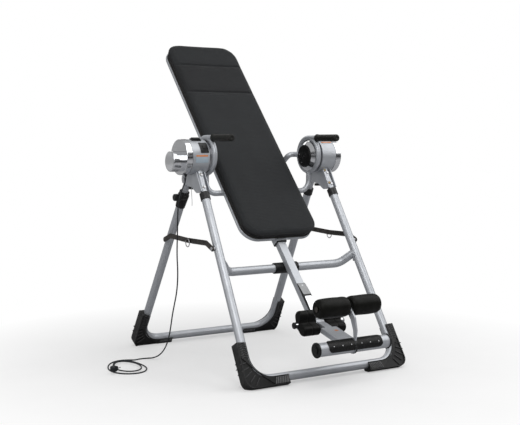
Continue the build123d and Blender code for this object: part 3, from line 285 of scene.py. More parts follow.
SILVER = silver_paint("silver paint")
CHROME = bright_metal("chrome")
ZINC = bright_metal("zinc steel", (0.58, 0.58, 0.60), 0.24, True)
BRONZE = bright_metal("sintered bronze", (0.62, 0.45, 0.24), 0.35, True)
RUBBER = moulded("moulded rubber", (0.0060, 0.0060, 0.0062), 0.42, 900.0, 0.00015, (0.035, 0.035, 0.034))
PLASTIC = moulded("black plastic", (0.007, 0.0072, 0.0075), 0.32, 1700.0, 0.00008, (0.03, 0.03, 0.03))
GRIP = moulded("grip rubber", (0.010, 0.010, 0.0085), 0.46, 1100.0, 0.0002, (0.03, 0.03, 0.028))
CORD = moulded("cord jacket", (0.014, 0.016, 0.018), 0.40, 2200.0, 0.00004, (0.04, 0.04, 0.04))
FOAM = foam("foam rubber")
CUP_FOAM = foam("cup foam", (0.0035, 0.0034, 0.0030))
CLOTH = woven("pad cloth")
# A darker copy of the pad cloth for the faces turned away from the front: painted shade on the pad's sides.
SHADED_SIDE_CLOTH = woven("pad side cloth, painted shade", (0.005, 0.005, 0.0055), (0.012, 0.012, 0.013))
HEAD_CLOTH = woven("headrest cloth", (0.0118, 0.0126, 0.0140), (0.0235, 0.0248, 0.0266))
PIPING = woven("piping", (0.006, 0.006, 0.0065), (0.016, 0.016, 0.017), 0.0008, 0.6)
THREAD = woven("thread", (0.03, 0.03, 0.031), (0.07, 0.07, 0.073), 0.0004, 0.6)
# Lighter rubbers for the shoes' teeth, chevrons and ribs: their lighter base colour is painted highlight on the
# raised relief.
HIGHLIT_TOOTH_RUBBER = moulded("rubber teeth, painted highlight", (0.13, 0.13, 0.132), 0.34, 900.0, 0.0001, (0.12, 0.12, 0.12))
HIGHLIT_RIB_RUBBER = moulded("rubber edges", (0.030, 0.030, 0.031), 0.36, 900.0, 0.0001, (0.07, 0.07, 0.07))
BRASS = bright_metal("brass passivate", (0.50, 0.38, 0.20), 0.32)
LINK = moulded("black steel", (0.012, 0.010, 0.008), 0.34, 800.0, 0.00005, (0.09, 0.08, 0.07), 0.35)
BOARD = plywood("stained plywood")
CAST = cast_paint("cast housing")
ORANGE = label_print("orange print", (0.72, 0.20, 0.012))
LABEL_PRINT = label_print("bluish print", (0.40, 0.50, 0.58))
GREY_PLATE = label_print("grey plate", (0.30, 0.31, 0.32), 0.3)
SLOT_LOOKS = {
    "frame_paint": SILVER, "bright_chrome": CHROME, "bare_steel": ZINC, "bearing_brass": BRONZE,
    "black_rubber": RUBBER, "black_plastic": PLASTIC, "cord_rubber": CORD, "pad_cloth": CLOTH,
    "board_wood": BOARD, "cup_foam": CUP_FOAM, "roller_foam": FOAM, "black_steel": LINK,
    "motor_paint": CAST,
}


# ---------------------------------------------------------------- mesh helpers
def link_to_scene(obj):
    bpy.context.scene.collection.objects.link(obj)
    return obj


def make_object(name, verts, faces, mats, smooth=True, face_mats=None):
    mesh = bpy.data.meshes.new(name)
    mesh.from_pydata([tuple(v) for v in verts], [], faces)
    mesh.validate()
    for mat in mats if isinstance(mats, (list, tuple)) else [mats]:
        mesh.materials.append(mat)
    for index, poly in enumerate(mesh.polygons):
        poly.use_smooth = smooth
        if face_mats:
            poly.material_index = face_mats[index]
    mesh.update()
    return link_to_scene(bpy.data.objects.new(name, mesh))


def fix_normals(obj):
    work = bmesh.new()
    work.from_mesh(obj.data)
    bmesh.ops.recalc_face_normals(work, faces=work.faces)
    work.to_mesh(obj.data)
    work.free()
    return obj


def apply_modifiers(obj):
    bpy.context.view_layer.update()
    shape = obj.evaluated_get(bpy.context.evaluated_depsgraph_get())
    mesh = bpy.data.meshes.new_from_object(shape)
    obj.modifiers.clear()
    obj.data = mesh
    return obj


def sharp_by_angle(obj, angle):
    obj.data.set_sharp_from_angle(angle=math.radians(angle))
    return obj


def rounded(obj, width, segments):
    step = obj.modifiers.new("edges", "BEVEL")
    step.width = width
    step.segments = segments
    step.limit_method = "ANGLE"
    step.angle_limit = math.radians(30.0)
    apply_modifiers(obj)
    for poly in obj.data.polygons:
        poly.use_smooth = True
    return sharp_by_angle(obj, 38.0)


def grid_faces(rows, columns, round_rows=False, round_columns=False):
    """Quads over rows of points; either direction may join up with its own start."""
    faces = []
    for j in range(rows if round_rows else rows - 1):
        a, b = j * columns, (j + 1) % rows * columns
        for k in range(columns if round_columns else columns - 1):
            n = (k + 1) % columns
            faces.append([a + k, a + n, b + n, b + k])
    return faces


def shell_faces(rows, columns, hollow=False):
    """Faces of two stacked grids of points, joined round the border; a hollow one is open underneath."""
    size = rows * columns
    faces = []
    for index, quad in enumerate(grid_faces(rows, columns)):
        faces.append([size + k for k in quad])
        row, column = divmod(index, columns - 1)
        if not hollow or row in (0, rows - 2) or column in (0, columns - 2):
            faces.append(quad[::-1])
    ring = list(range(columns))
    ring += [j * columns + columns - 1 for j in range(1, rows)]
    ring += [(rows - 1) * columns + i for i in range(columns - 2, -1, -1)]
    ring += [j * columns for j in range(rows - 2, 0, -1)]
    return faces + [[a, b, size + b, size + a] for a, b in zip(ring, ring[1:] + ring[:1])]


def join(name, objects):
    """One mesh from several, keeping each face's material."""
    verts, faces, mats, mat_index, smooth = [], [], [], [], []
    for obj in objects:
        base = len(verts)
        verts.extend(obj.matrix_world @ v.co for v in obj.data.vertices)
        for poly in obj.data.polygons:
            faces.append([base + i for i in poly.vertices])
            mat = obj.data.materials[poly.material_index]
            if mat not in mats:
                mats.append(mat)
            mat_index.append(mats.index(mat))
            smooth.append(poly.use_smooth)
    whole = make_object(name, verts, faces, mats, True, mat_index)
    for poly, flag in zip(whole.data.polygons, smooth):
        poly.use_smooth = flag
    for obj in objects:
        bpy.data.objects.remove(obj)
    return sharp_by_angle(whole, 45.0)


def frame_of(axis):
    axis = axis.normalized()
    side = UP if abs(axis.z) < 0.9 else Vector((0, 1, 0))
    u = side.cross(axis).normalized()
    return u, axis.cross(u).normalized()


def circle(u, v, count):
    """Directions round a circle, from u towards v."""
    turns = [2 * math.pi * k / count for k in range(count)]
    return [u * math.cos(turn) + v * math.sin(turn) for turn in turns]


def lathe(name, origin, axis, profile, mat, steps=64, closed=False):
    """Turns (distance along, radius) points about an axis."""
    axis = axis.normalized()
    verts = [origin + axis * along + out * radius
             for out in circle(*frame_of(axis), steps) for along, radius in profile]
    faces = grid_faces(steps, len(profile), True, closed)
    obj = make_object(name, verts, faces, mat)
    if not closed:
        work = bmesh.new()
        work.from_mesh(obj.data)
        bmesh.ops.remove_doubles(work, verts=work.verts, dist=1e-6)
        bmesh.ops.holes_fill(work, edges=work.edges, sides=0)
        work.to_mesh(obj.data)
        work.free()
    return sharp_by_angle(fix_normals(obj), 50.0)


def tube_along(name, points, radii, mat, closed=False, sides=12):
    """A round bead along a list of points, with one radius or a radius for each point."""
    verts = []
    count = len(points)
    normal = None
    for i, point in enumerate(points):
        before = points[i - 1] if (i or closed) else point
        after = points[(i + 1) % count] if (i < count - 1 or closed) else point
        heading = (after - before).normalized()
        if normal is None:
            normal = frame_of(heading)[0]
        normal = (normal - heading * normal.dot(heading)).normalized()
        size = radii[i] if isinstance(radii, list) else radii
        verts += [point + out * size for out in circle(normal, heading.cross(normal), sides)]
    faces = grid_faces(count, sides, closed, True)
    if not closed:
        faces.append(list(range(sides))[::-1])
        faces.append([(count - 1) * sides + k for k in range(sides)])
    return make_object(name, verts, faces, mat)


def block(name, centre, axes, size, mat, bevel, segments=2):
    """A block in its own directions, with softened edges; the last direction is its height."""
    u, v, w = axes
    verts = []
    for c in (-0.5, 0.5):
        for a, b in ((-0.5, -0.5), (0.5, -0.5), (0.5, 0.5), (-0.5, 0.5)):
            verts.append(centre + u * (a * size[0]) + v * (b * size[1]) + w * (c * size[2]))
    faces = [[0, 3, 2, 1], [4, 5, 6, 7], [0, 1, 5, 4], [1, 2, 6, 5], [2, 3, 7, 6], [3, 0, 4, 7]]
    return rounded(fix_normals(make_object(name, verts, faces, mat)), bevel, segments)


def drum_point(x, radius, degrees):
    """A point round the hub axis; degrees run up from the front."""
    angle = math.radians(180.0 - degrees)
    return Vector((x, HUB.y + radius * math.cos(angle), HUB.z + radius * math.sin(angle)))


def drum_plate(name, x0, x1, first, last, low, high, mat, steps=24, corner=0.004):
    """A thin curved plate on a drum, with rounded corners."""
    verts = []
    span = math.radians(abs(last - first)) * high
    for step in range(steps + 1):
        t = step / steps
        edge = min(t, 1 - t) * span
        trim = 0.0
        if edge < corner:
            trim = corner - math.sqrt(max(0.0, corner ** 2 - (corner - edge) ** 2))
        lean = math.copysign(trim, x1 - x0)
        degrees = first + (last - first) * t
        for x, radius in ((x0 + lean, low), (x0 + lean, high), (x1 - lean, high), (x1 - lean, low)):
            verts.append(drum_point(x, radius, degrees))
    faces = grid_faces(steps + 1, 4, False, True)
    faces += [[0, 1, 2, 3], [steps * 4 + k for k in (3, 2, 1, 0)]]
    return sharp_by_angle(fix_normals(make_object(name, verts, faces, mat)), 30.0)


def weld_bead(origin, heading, radius, main, main_dir, main_radius, size=0.0023):
    """The bead where a tube meets the side of another: their crossing, with a ripple."""
    heading, main_dir = heading.normalized(), main_dir.normalized()
    across = heading - main_dir * heading.dot(main_dir)
    steps = 72
    points, radii = [], []
    for step, out in enumerate(circle(*frame_of(heading), steps)):
        start = origin + out * radius
        offset = start - main
        offset -= main_dir * offset.dot(main_dir)
        a, b, c = across.dot(across), 2 * across.dot(offset), offset.dot(offset) - main_radius ** 2
        root = math.sqrt(max(0.0, b * b - 4 * a * c))
        points.append(start + heading * ((-b - root) / (2 * a)))
        radii.append(size * (1 + 0.22 * math.sin(step * 2.1) + 0.12 * math.sin(step * 5.3)))
    return tube_along("bead", points, radii, SILVER, True, 8)


# ---------------------------------------------------------------- camera, light, floor
CAMERA_TURN, CAMERA_LIFT = -32.436, 4.067
CAMERA_PLACE = Vector((MIDDLE_X - 2.522, HUB.y - 3.973, 1.016))
CAMERA_LENS = 69.1
ROOM_LIGHT = 0.44
ROOM_STEPS = (      # height of the ramp's stops, and how bright the room is there
    (0.02, 0.05), (0.20, 0.05), (0.26, 0.42), (0.34, 0.50), (0.40, 0.10), (0.52, 0.16), (0.70, 0.95))
CENTRE = (0, 0, 0.8)
LAMPS = (       # name, place, target, width, height, power
    ("key", (-1.4, -2.3, 2.9), CENTRE, 2.5, 2.5, 54.0),
    ("fill", (3.6, -2.6, 2.0), (0, 0, 0.7), 1.6, 1.6, 7.0),
    ("top", (2.0, -1.2, 3.0), (0, -0.3, 0.4), 3.6, 3.6, 56.0),
    ("card", (-1.9, 2.9, 0.95), (MIDDLE_X - 0.36, 0.06, 0.95), 2.0, 2.0, 4.2),
    ("side", (-4.0, 0.2, 1.7), (MIDDLE_X - 0.36, 0.06, 0.85), 2.0, 2.0, 20.0),
    ("rim", (0.8, 3.6, 3.0), CENTRE, 2.6, 1.2, 14.0),
)
FLOOR_PALE = ((0.82, 0.82, 0.82), (0.86, 0.86, 0.86))
FLOOR_BOUNCE = (0.40, 0.40, 0.41)
FLOOR_GLOW = 0.35        # how far the floor is white right under the object
FLOOR_FADE = (0.55, 1.7)     # metres from the origin over which it turns quite white


def set_camera():
    turn, lift = math.radians(CAMERA_TURN), math.radians(CAMERA_LIFT)
    back = Vector((math.sin(turn) * math.cos(lift), -math.cos(turn) * math.cos(lift), math.sin(lift)))
    right = Vector((math.cos(turn), math.sin(turn), 0))
    data = bpy.data.cameras.new("camera")
    data.sensor_width = 36.0
    data.lens = CAMERA_LENS
    camera = link_to_scene(bpy.data.objects.new("camera", data))
    camera.matrix_world = Matrix((right, back.cross(right), back)).transposed().to_4x4()
    camera.location = CAMERA_PLACE
    bpy.context.scene.camera = camera


def area_light(name, place, target, width, height, power):
    data = bpy.data.lights.new(name, "AREA")
    data.shape = "RECTANGLE"
    data.size = width
    data.size_y = height
    data.energy = power
    light = link_to_scene(bpy.data.objects.new(name, data))
    light.location = place
    light.rotation_euler = (Vector(target) - Vector(place)).to_track_quat("-Z", "Y").to_euler()


def seen_or_bounced(tree, bounced, seen, output, factor=None):
    """One shader for the camera and another for the light."""
    if factor is None:
        factor = tree.nodes.new("ShaderNodeLightPath").outputs["Is Camera Ray"]
    mix = tree.nodes.new("ShaderNodeMixShader")
    for source, socket in zip((factor, bounced.outputs[0], seen.outputs[0]), mix.inputs):
        tree.links.new(source, socket)
    tree.links.new(mix.outputs[0], tree.nodes[output].inputs["Surface"])


def set_world():
    """A plain soft room for the light, dark below and in one band, and white for the camera."""
    world = bpy.data.worlds.new("world")
    bpy.context.scene.world = world
    world.use_nodes = True
    tree = world.node_tree
    coords = tree.nodes.new("ShaderNodeTexCoord")
    split = tree.nodes.new("ShaderNodeSeparateXYZ")
    drift = tree.nodes.new("ShaderNodeTexNoise")
    drift.inputs["Scale"].default_value = 2.2
    for node in (split, drift):
        tree.links.new(coords.outputs["Generated"], node.inputs["Vector"])
    height = tree.nodes.new("ShaderNodeMath")
    height.operation = "MULTIPLY_ADD"
    height.inputs[1].default_value = 0.35
    tree.links.new(drift.outputs["Fac"], height.inputs[0])
    tree.links.new(split.outputs["Z"], height.inputs[2])
    (first, dark), (last, bright) = ROOM_STEPS[0], ROOM_STEPS[-1]
    ramp = tree.nodes.new("ShaderNodeValToRGB")
    room_colour = mix_colour(tree, (dark,) * 3, (bright,) * 3, height.outputs[0], first, last, ramp)
    for place, level in ROOM_STEPS[1:-1]:
        ramp.color_ramp.elements.new(place).color = (level, level, level * 1.03, 1)
    room = tree.nodes["Background"]
    tree.links.new(room_colour, room.inputs["Color"])
    room.inputs["Strength"].default_value = ROOM_LIGHT
    white = tree.nodes.new("ShaderNodeBackground")
    white.inputs["Color"].default_value = (1, 1, 1, 1)
    seen_or_bounced(tree, room, white, "World Output")


def set_stage():
    set_world()
    for lamp in LAMPS:
        area_light(*lamp)
    corners = [(-14, -8, 0), (14, -8, 0), (14, 16, 0), (-14, 16, 0)]
    make_object("floor", corners, [[0, 1, 2, 3]], floor_look(), False)
    bpy.context.scene.view_settings.view_transform = "Standard"


def floor_look():
    """A pale floor that fades to white away from the object, and bounces less light than it shows."""
    mat, tree, shader = new_material("studio floor")
    pale = mix_colour(tree, *FLOOR_PALE, texture(tree, "noise", 2.5, Detail=4.0))
    shader.inputs["Roughness"].default_value = 0.75
    shader.inputs["Specular IOR Level"].default_value = 0.2
    length = tree.nodes.new("ShaderNodeVectorMath")
    length.operation = "LENGTH"
    tree.links.new(tree.nodes["coords"].outputs["Object"], length.inputs[0])
    far = value_range(tree, length.outputs["Value"], FLOOR_GLOW, 1.0, *FLOOR_FADE)
    seen = tree.nodes.new("ShaderNodeLightPath").outputs["Is Camera Ray"]
    tree.links.new(blend(tree, seen, FLOOR_BOUNCE, pale), shader.inputs["Base Color"])
    glow = tree.nodes.new("ShaderNodeEmission")
    glow.inputs["Color"].default_value = (1, 1, 1, 1)
    seen_or_bounced(tree, shader, glow, "Material Output", calculate(tree, "MULTIPLY", far, seen))
    return mat


# ---------------------------------------------------------------- the padded bed
PAD_LOW, PAD_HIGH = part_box("bed_pad")
PAD_HALF = (PAD_HIGH.x - PAD_LOW.x) / 2
pad_points = [bed_of(Vector(v.co)) for v in frame["nodes"]["bed_pad"].data.vertices]
PAD_FOOT, PAD_HEAD = min(p.y for p in pad_points), max(p.y for p in pad_points)
PAD_BACK, PAD_FRONT = min(p.z for p in pad_points), max(p.z for p in pad_points)
PAD_CORNER = 0.080
PAD_LOOKS = [CLOTH, SHADED_SIDE_CLOTH, HEAD_CLOTH]
SEAMS = (0.476, 0.660)   # the headrest's two seams, along the bed
CROWN = 0.005            # how far the filled cushion stands over the CAD pad
CROWN_LIMIT = 0.006
SWELL_FRAMES = 20


def pad_half_width(along, inset=0.0):
    corner = PAD_CORNER - inset
    edge = min(along - PAD_FOOT - inset, PAD_HEAD - inset - along)
    full = PAD_HALF - inset
    if edge >= corner:
        return full
    edge = max(edge, 0.0)
    return full - corner + math.sqrt(max(0.0, corner ** 2 - (corner - edge) ** 2))


def pad_outline(inset, count=520):
    """Points evenly round the pad's outline, as (x, along)."""
    corner = PAD_CORNER - inset
    w, low, high = PAD_HALF - PAD_CORNER, PAD_FOOT + PAD_CORNER, PAD_HEAD - PAD_CORNER
    path = []
    for cx, cy, start in ((w, high, 0), (-w, high, 90), (-w, low, 180), (w, low, 270)):
        for k in range(25):
            angle = math.radians(start + 90 * k / 24)
            path.append(Vector((cx + corner * math.cos(angle), cy + corner * math.sin(angle))))
    path.append(path[0])
    lengths = [(b - a).length for a, b in zip(path, path[1:])]
    total, out, index, passed = sum(lengths), [], 0, 0.0
    for k in range(count):
        goal = total * k / count
        while passed + lengths[index] < goal:
            passed += lengths[index]
            index += 1
        t = (goal - passed) / max(lengths[index], 1e-9)
        out.append(path[index].lerp(path[index + 1], t))
    return out


def swell(obj, voxel, cap):
    """Fills a closed cover: cloth under inner pressure, with a limit on how far a point may travel."""
    step = obj.modifiers.new("voxels", "REMESH")
    step.mode = "VOXEL"
    step.voxel_size = voxel
    apply_modifiers(obj)
    start = [v.co.copy() for v in obj.data.vertices]
    cloth = obj.modifiers.new("cloth", "CLOTH")
    cloth.settings.use_pressure = True
    cloth.settings.uniform_pressure_force = 4.0
    cloth.settings.effector_weights.gravity = 0
    cloth.settings.quality = 4
    scene = bpy.context.scene
    scene.frame_start, scene.frame_end = 1, SWELL_FRAMES
    for number in range(1, SWELL_FRAMES + 1):
        scene.frame_set(number)
    apply_modifiers(obj)
    scene.frame_set(1)
    for vert, origin in zip(obj.data.vertices, start):
        move = vert.co - origin
        if move.length > cap:
            vert.co = origin + move * (cap / move.length)
    return obj


def pad_form():
    """The cover before it is filled: a closed slab, thinner than the pad and pulled in at its rim."""
    rows, columns, inset = 151, 49, 0.003
    verts = []
    for layer in (0, 1):
        for j in range(rows):
            along = PAD_FOOT + inset + (PAD_HEAD - PAD_FOOT - 2 * inset) * j / (rows - 1)
            w = pad_half_width(along, inset)
            for i in range(columns):
                t = -1 + 2 * i / (columns - 1)
                side = min(w * (1 - abs(t)), along - PAD_FOOT, PAD_HEAD - along)
                rim = max(0.0, 1 - side / 0.022)
                height = PAD_FRONT - 0.003 - 0.004 * rim ** 2 if layer else PAD_BACK + 0.0015
                verts.append(bed(w * t, along, height))
    return fix_normals(make_object("bed_cushion", verts, shell_faces(rows, columns), PAD_LOOKS))


def seam_groove(p):
    """How deep the seams, the dimples beside them and their puckers are at a point of the pad."""
    groove = 0.0
    for seam in SEAMS:
        off = p.y - seam
        groove += 0.0062 * math.exp(-(off / 0.0055) ** 2) + 0.0030 * math.exp(-(off / 0.022) ** 2)
        groove += 0.0006 * math.sin(p.x * 410.0 + seam * 90) * math.exp(-(off / 0.012) ** 2)
    return groove


def shape_pad(obj):
    """Fits the cushion to the CAD outline, and presses in its seams and the flat seat on the board."""
    span = PAD_FRONT - PAD_BACK
    spots = [bed_of(vert.co) for vert in obj.data.vertices]
    head, foot = max(p.y for p in spots), min(p.y for p in spots)
    wide = PAD_HALF / max(abs(p.x) for p in spots)
    tall = (PAD_HEAD - PAD_FOOT) / (head - foot)
    thick = (span + CROWN) / (max(p.z for p in spots) - PAD_BACK)
    for vert, spot in zip(obj.data.vertices, spots):
        p = Vector((
            spot.x * wide, PAD_FOOT + (spot.y - foot) * tall, PAD_BACK + (spot.z - PAD_BACK) * thick))
        lift = min(1.0, max(0.0, (p.z - PAD_BACK) / span))
        edge = min(PAD_HALF - abs(p.x), p.y - PAD_FOOT, PAD_HEAD - p.y)
        groove = seam_groove(p) * (0.30 + 0.70 * min(1.0, max(0.0, (edge - 0.004) / 0.022)))
        hollow = 0.0016 * noise.noise(Vector((p.x * 9, p.y * 5, 3.1))) if edge > 0.02 else 0.0
        height = max(p.z - (groove - hollow) * lift, PAD_BACK + 0.0002)
        vert.co = bed(p.x, p.y, min(height, PAD_FRONT + CROWN_LIMIT))
    for poly in obj.data.polygons:
        poly.use_smooth = True
        headrest = SEAMS[0] < bed_of(poly.center).y < SEAMS[1]
        # Faces turned away from the front get the darker side cloth as painted shade; the headrest band gets its
        # own cloth.
        poly.material_index = 1 if poly.normal.dot(FRONT) < 0.45 else 2 if headrest else 0


def tree_of(obj):
    mesh = obj.data
    return BVHTree.FromPolygons([v.co[:] for v in mesh.vertices], [p.vertices[:] for p in mesh.polygons])


def piping(skin, height):
    """A bead round the pad's rim, laid on the finished surface."""
    rim = []
    ring = pad_outline(0.0)
    middle = sum(ring, Vector((0, 0))) / len(ring)
    for k, point in enumerate(ring):
        heading = (ring[(k + 1) % len(ring)] - ring[k - 1]).normalized()
        out = Vector((heading.y, -heading.x))
        if out.dot(point - middle) < 0:
            out = -out
        start = bed(point.x + out.x * 0.03, point.y + out.y * 0.03, height)
        hit = skin.ray_cast(start, -(ACROSS * out.x + ALONG * out.y).normalized())[0]
        rim.append(hit if hit is not None else bed(point.x, point.y, height))
    rim = [(rim[k - 1] + rim[k] * 2 + rim[(k + 1) % len(rim)]) / 4 for k in range(len(rim))]
    return tube_along("piping", rim, 0.0024, PIPING, True, 10)


def stitches(skin):
    """Two lines of stitches at each seam and one round the rim."""
    lines = [[(p.x, p.y) for p in pad_outline(0.020, 430)]]
    for seam in SEAMS:
        for off in (-0.0065, 0.0065):
            lines.append([(x * 0.0065, seam + off) for x in range(-28, 29)])
    verts, faces = [], []
    for line in lines:
        for (x0, y0), (x1, y1) in zip(line, line[1:]):
            a = skin.ray_cast(bed(x0, y0, 0.0), -FRONT)[0]
            b = skin.ray_cast(bed(x0 + (x1 - x0) * 0.62, y0 + (y1 - y0) * 0.62, 0.0), -FRONT)[0]
            if a is not None and b is not None:
                stitch_into(verts, faces, a, b)
    return make_object("stitches", verts, faces, THREAD)


def stitch_into(verts, faces, a, b):
    size, sides = 0.00055, 6
    heading = (b - a).normalized()
    side = heading.cross(FRONT).normalized()
    up = side.cross(heading)
    base = len(verts)
    for t, scale, lift in ((0.0, 0.5, -0.3), (0.2, 1.0, 0.7), (0.8, 1.0, 0.7), (1.0, 0.5, -0.3)):
        place = a.lerp(b, t) + up * size * lift
        verts += [place + out * size * scale for out in circle(side, up, sides)]
    faces += [[base + k for k in face] for face in grid_faces(4, sides, False, True)]
    faces.append([base + k for k in range(sides - 1, -1, -1)])
    faces.append([base + 3 * sides + k for k in range(sides)])


def build_pad():
    cushion = swell(pad_form(), 0.0062, 0.0062)
    relax = cushion.modifiers.new("smooth", "SMOOTH")
    relax.factor = 0.5
    relax.iterations = 4
    apply_modifiers(cushion)
    finer = cushion.modifiers.new("finer", "SUBSURF")
    finer.levels = finer.render_levels = 1
    apply_modifiers(cushion)
    present = [mat.name for mat in cushion.data.materials if mat]
    for mat in PAD_LOOKS:
        if mat.name not in present:
            cushion.data.materials.append(mat)
    shape_pad(cushion)
    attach(cushion, "bed")
    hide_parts("bed_pad")
    skin = tree_of(cushion)
    for piece in (piping(skin, PAD_FRONT - 0.010), piping(skin, PAD_BACK + 0.003), stitches(skin)):
        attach(piece, "bed")


# ---------------------------------------------------------------- rollers, cups, grips, treads
def skin_radius(skin, centre, out):
    """How far a CAD solid's outer skin is from a point, along a direction."""
    hit = skin.ray_cast(centre + out * 0.3, -out)[0]
    return (hit - centre).length if hit is not None else 0.0


def roller_profile(skin, inner, side, length):
    """Distance along and radius: a dished inner end, the CAD roll with soft edges, a dished outer end."""
    profile = [(0.0045, 0.0092), (0.0032, 0.0118), (0.0012, 0.0180), (0.0008, 0.0270)]
    stations = [0.0012, 0.0022, 0.0040, 0.0065, 0.0095, 0.013] + [0.018 + k * 0.0065 for k in range(19)]
    stations += [length - gap for gap in (0.012, 0.009, 0.0065, 0.0045, 0.003, 0.002, 0.0012)]
    for x in stations:
        round_off = 0.0035 * max(0.0, 1 - min(x, length - x) / 0.006) ** 2
        centre = Vector((inner + side * x, ROLL.y, ROLL.z))
        profile.append((x, skin_radius(skin, centre, Vector((0, -1, 0))) - round_off))
    outer = ((0.0006, 0.0250), (0.0016, 0.0242), (0.0016, 0.0226), (0.0004, 0.0218), (0.0008, 0.0150),
             (0.0030, 0.0130), (0.005, 0.0092))
    return profile + [(length - gap, radius) for gap, radius in outer]


def build_rollers():
    for side, word in SIDE_WORDS:
        node = f"{word}_roller"
        low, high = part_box(node)
        inner = low.x if side > 0 else high.x
        profile = roller_profile(tree_of(frame["nodes"][node]), inner, side, high.x - low.x)
        origin = Vector((inner, ROLL.y, ROLL.z))
        roll = lathe(f"{word}_foam_roll", origin, ACROSS * side, profile, FOAM, 96, True)
        for vert in roll.data.vertices:
            ripple = noise.noise(vert.co * 34.0) * 0.0005
            out = Vector((0, vert.co.y - ROLL.y, vert.co.z - ROLL.z))
            if out.length > 0.02:
                vert.co += out.normalized() * ripple
        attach(roll, node)
        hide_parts(node)


def cup_rings(width):
    """Distance along and cut-back of a cup's rings, with soft ends and a parting line in the middle."""
    ends = []
    for k in range(8):
        turn = math.pi / 2 * k / 7
        ends.append((0.011 * (1 - math.cos(turn)), 0.011 * (1 - math.sin(turn))))
    line = ((-0.0040, 0.0), (-0.0016, 0.0016), (0.0, 0.0022), (0.0016, 0.0016), (0.0040, 0.0))
    return (ends + [(width * t, 0.0) for t in (0.2, 0.3, 0.4)]
            + [(width / 2 + off, cut) for off, cut in line]
            + [(width * t, 0.0) for t in (0.6, 0.7, 0.8)] + [(width - x, cut) for x, cut in ends[::-1]])


def build_cups():
    """Moulded cradles: the CAD section with soft ends and a parting line, and a bore with turned-in lips."""
    steps = 120
    bore = [(0.004, 0.0143), (0.0, 0.0155), (0.0, 0.0165)]
    rays = circle(ALONG, FRONT, steps)
    for _, word in SIDE_WORDS:
        node = f"{word}_ankle_cup"
        skin = tree_of(frame["nodes"][node])
        low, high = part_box(node)
        width = high.x - low.x
        middle = Vector(((low.x + high.x) / 2, CUP.y, CUP.z))
        radii = [skin_radius(skin, middle, ray) - 0.0002 for ray in rays]
        for _ in range(2):
            radii = [(radii[k - 1] + 2 * radii[k] + radii[(k + 1) % steps]) / 4 for k in range(steps)]
        rings = [(x, [r] * steps) for x, r in bore]
        rings += [(x, [max(0.0168, full - cut) for full in radii]) for x, cut in cup_rings(width)]
        rings += [(width - x, [r] * steps) for x, r in bore[::-1]]
        verts = []
        for x, ring in rings:
            centre = Vector((low.x + x, CUP.y, CUP.z))
            verts += [centre + ray * r for ray, r in zip(rays, ring)]
        faces = grid_faces(len(rings), steps, False, True)
        cup = fix_normals(make_object(f"{word}_cup_moulding", verts, faces, CUP_FOAM))
        for vert in cup.data.vertices:
            vert.co += FRONT * noise.noise(vert.co * 40.0) * 0.0003
        sharp_by_angle(cup, 60)
        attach(cup, node)
        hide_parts(node)


def grip_profile(length, radius):
    """Distance along and radius: a flanged end, fine grooves and a rounded, dimpled end."""
    soft = 0.007
    profile = [(0.0, 0.0128), (0.0, radius + 0.0006), (0.0015, radius + 0.0018)]
    profile += [(0.005, radius + 0.0018), (0.0068, radius), (0.0085, radius - 0.0002)]
    for k in range(15):
        start = 0.020 + k * 0.0095
        profile += [(start, radius), (start + 0.0012, radius - 0.0006), (start + 0.0024, radius)]
    for k in range(10):
        turn = math.pi / 2 * k / 9
        profile.append((length - soft + soft * math.sin(turn), radius - soft + soft * math.cos(turn)))
    return profile + [(length, 0.006), (length - 0.0012, 0.0045), (length - 0.0012, 0.0)]


def build_grips():
    low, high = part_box("hand_grips")
    radius = (high.z - low.z) / 2
    profile = grip_profile(high.y - low.y, radius)
    bars = []
    for x in (low.x + radius, high.x - radius):
        origin = Vector((x, high.y, (high.z + low.z) / 2))
        bars.append(lathe("grip", origin, Vector((0, -1, 0)), profile, GRIP, 56))
    grips = join("grip_sleeves", bars)
    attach(grips, "bed")
    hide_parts("hand_grips")


def tread_radius(x, t, side, rim):
    """The outer radius of a tread: its ribs, or the plain rim within 6 mm of its edge."""
    wave = max(0.0, math.sin((x * side + 0.3) * 2 * math.pi / 0.0075 + abs(t) * 3.0))
    relief = 0.0012 * min(1.0, wave * 2.2) if rim > 0.006 else 0.0010
    return 0.0318 + relief - 0.0012 * max(0.0, 1 - rim / 0.0015)


def build_treads():
    """Rubber shells on the foot tube, with a rim and cross ribs."""
    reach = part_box("foot_treads")[1].x - MIDDLE_X
    start, columns, rows, corner, half_arc = 0.0046, 121, 35, 0.0195, 0.0335
    shells = []
    for side in SIDES:
        verts = []
        for layer in (0, 1):
            for i in range(columns):
                x = start + (reach - 0.0050) * i / (columns - 1)
                past = max(0.0, x - (reach - corner))
                turned = 1 - (corner - math.sqrt(max(0.0, corner ** 2 - past ** 2))) / half_arc
                for j in range(rows):
                    t = -1 + 2 * j / (rows - 1)
                    tip = reach - x if abs(t) < 0.4 else 1.0
                    rim = min(x - start, (1 - abs(t)) * half_arc * turned, tip)
                    r = tread_radius(x, t, side, rim) if layer else 0.0286
                    angle = math.radians(180 - (38 + 61 * t * turned))
                    out = Vector((0, math.cos(angle), math.sin(angle)))
                    verts.append(Vector((MIDDLE_X + side * x, FOOT.y, FOOT.z)) + out * r)
        shells.append(fix_normals(make_object("tread", verts, shell_faces(columns, rows, True), RUBBER)))
    treads = join("ribbed_treads", shells)
    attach(treads, "boom")
    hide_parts("foot_treads")


# ---------------------------------------------------------------- frame details
LEG_R = 0.01905          # the frame tubes
ARM_R = 0.0127           # the handle rings and arms
LEG_RISE, LEG_SPREAD = 0.815, 0.040
LEG_LEAN = {-1: 0.485, 1: -0.450}


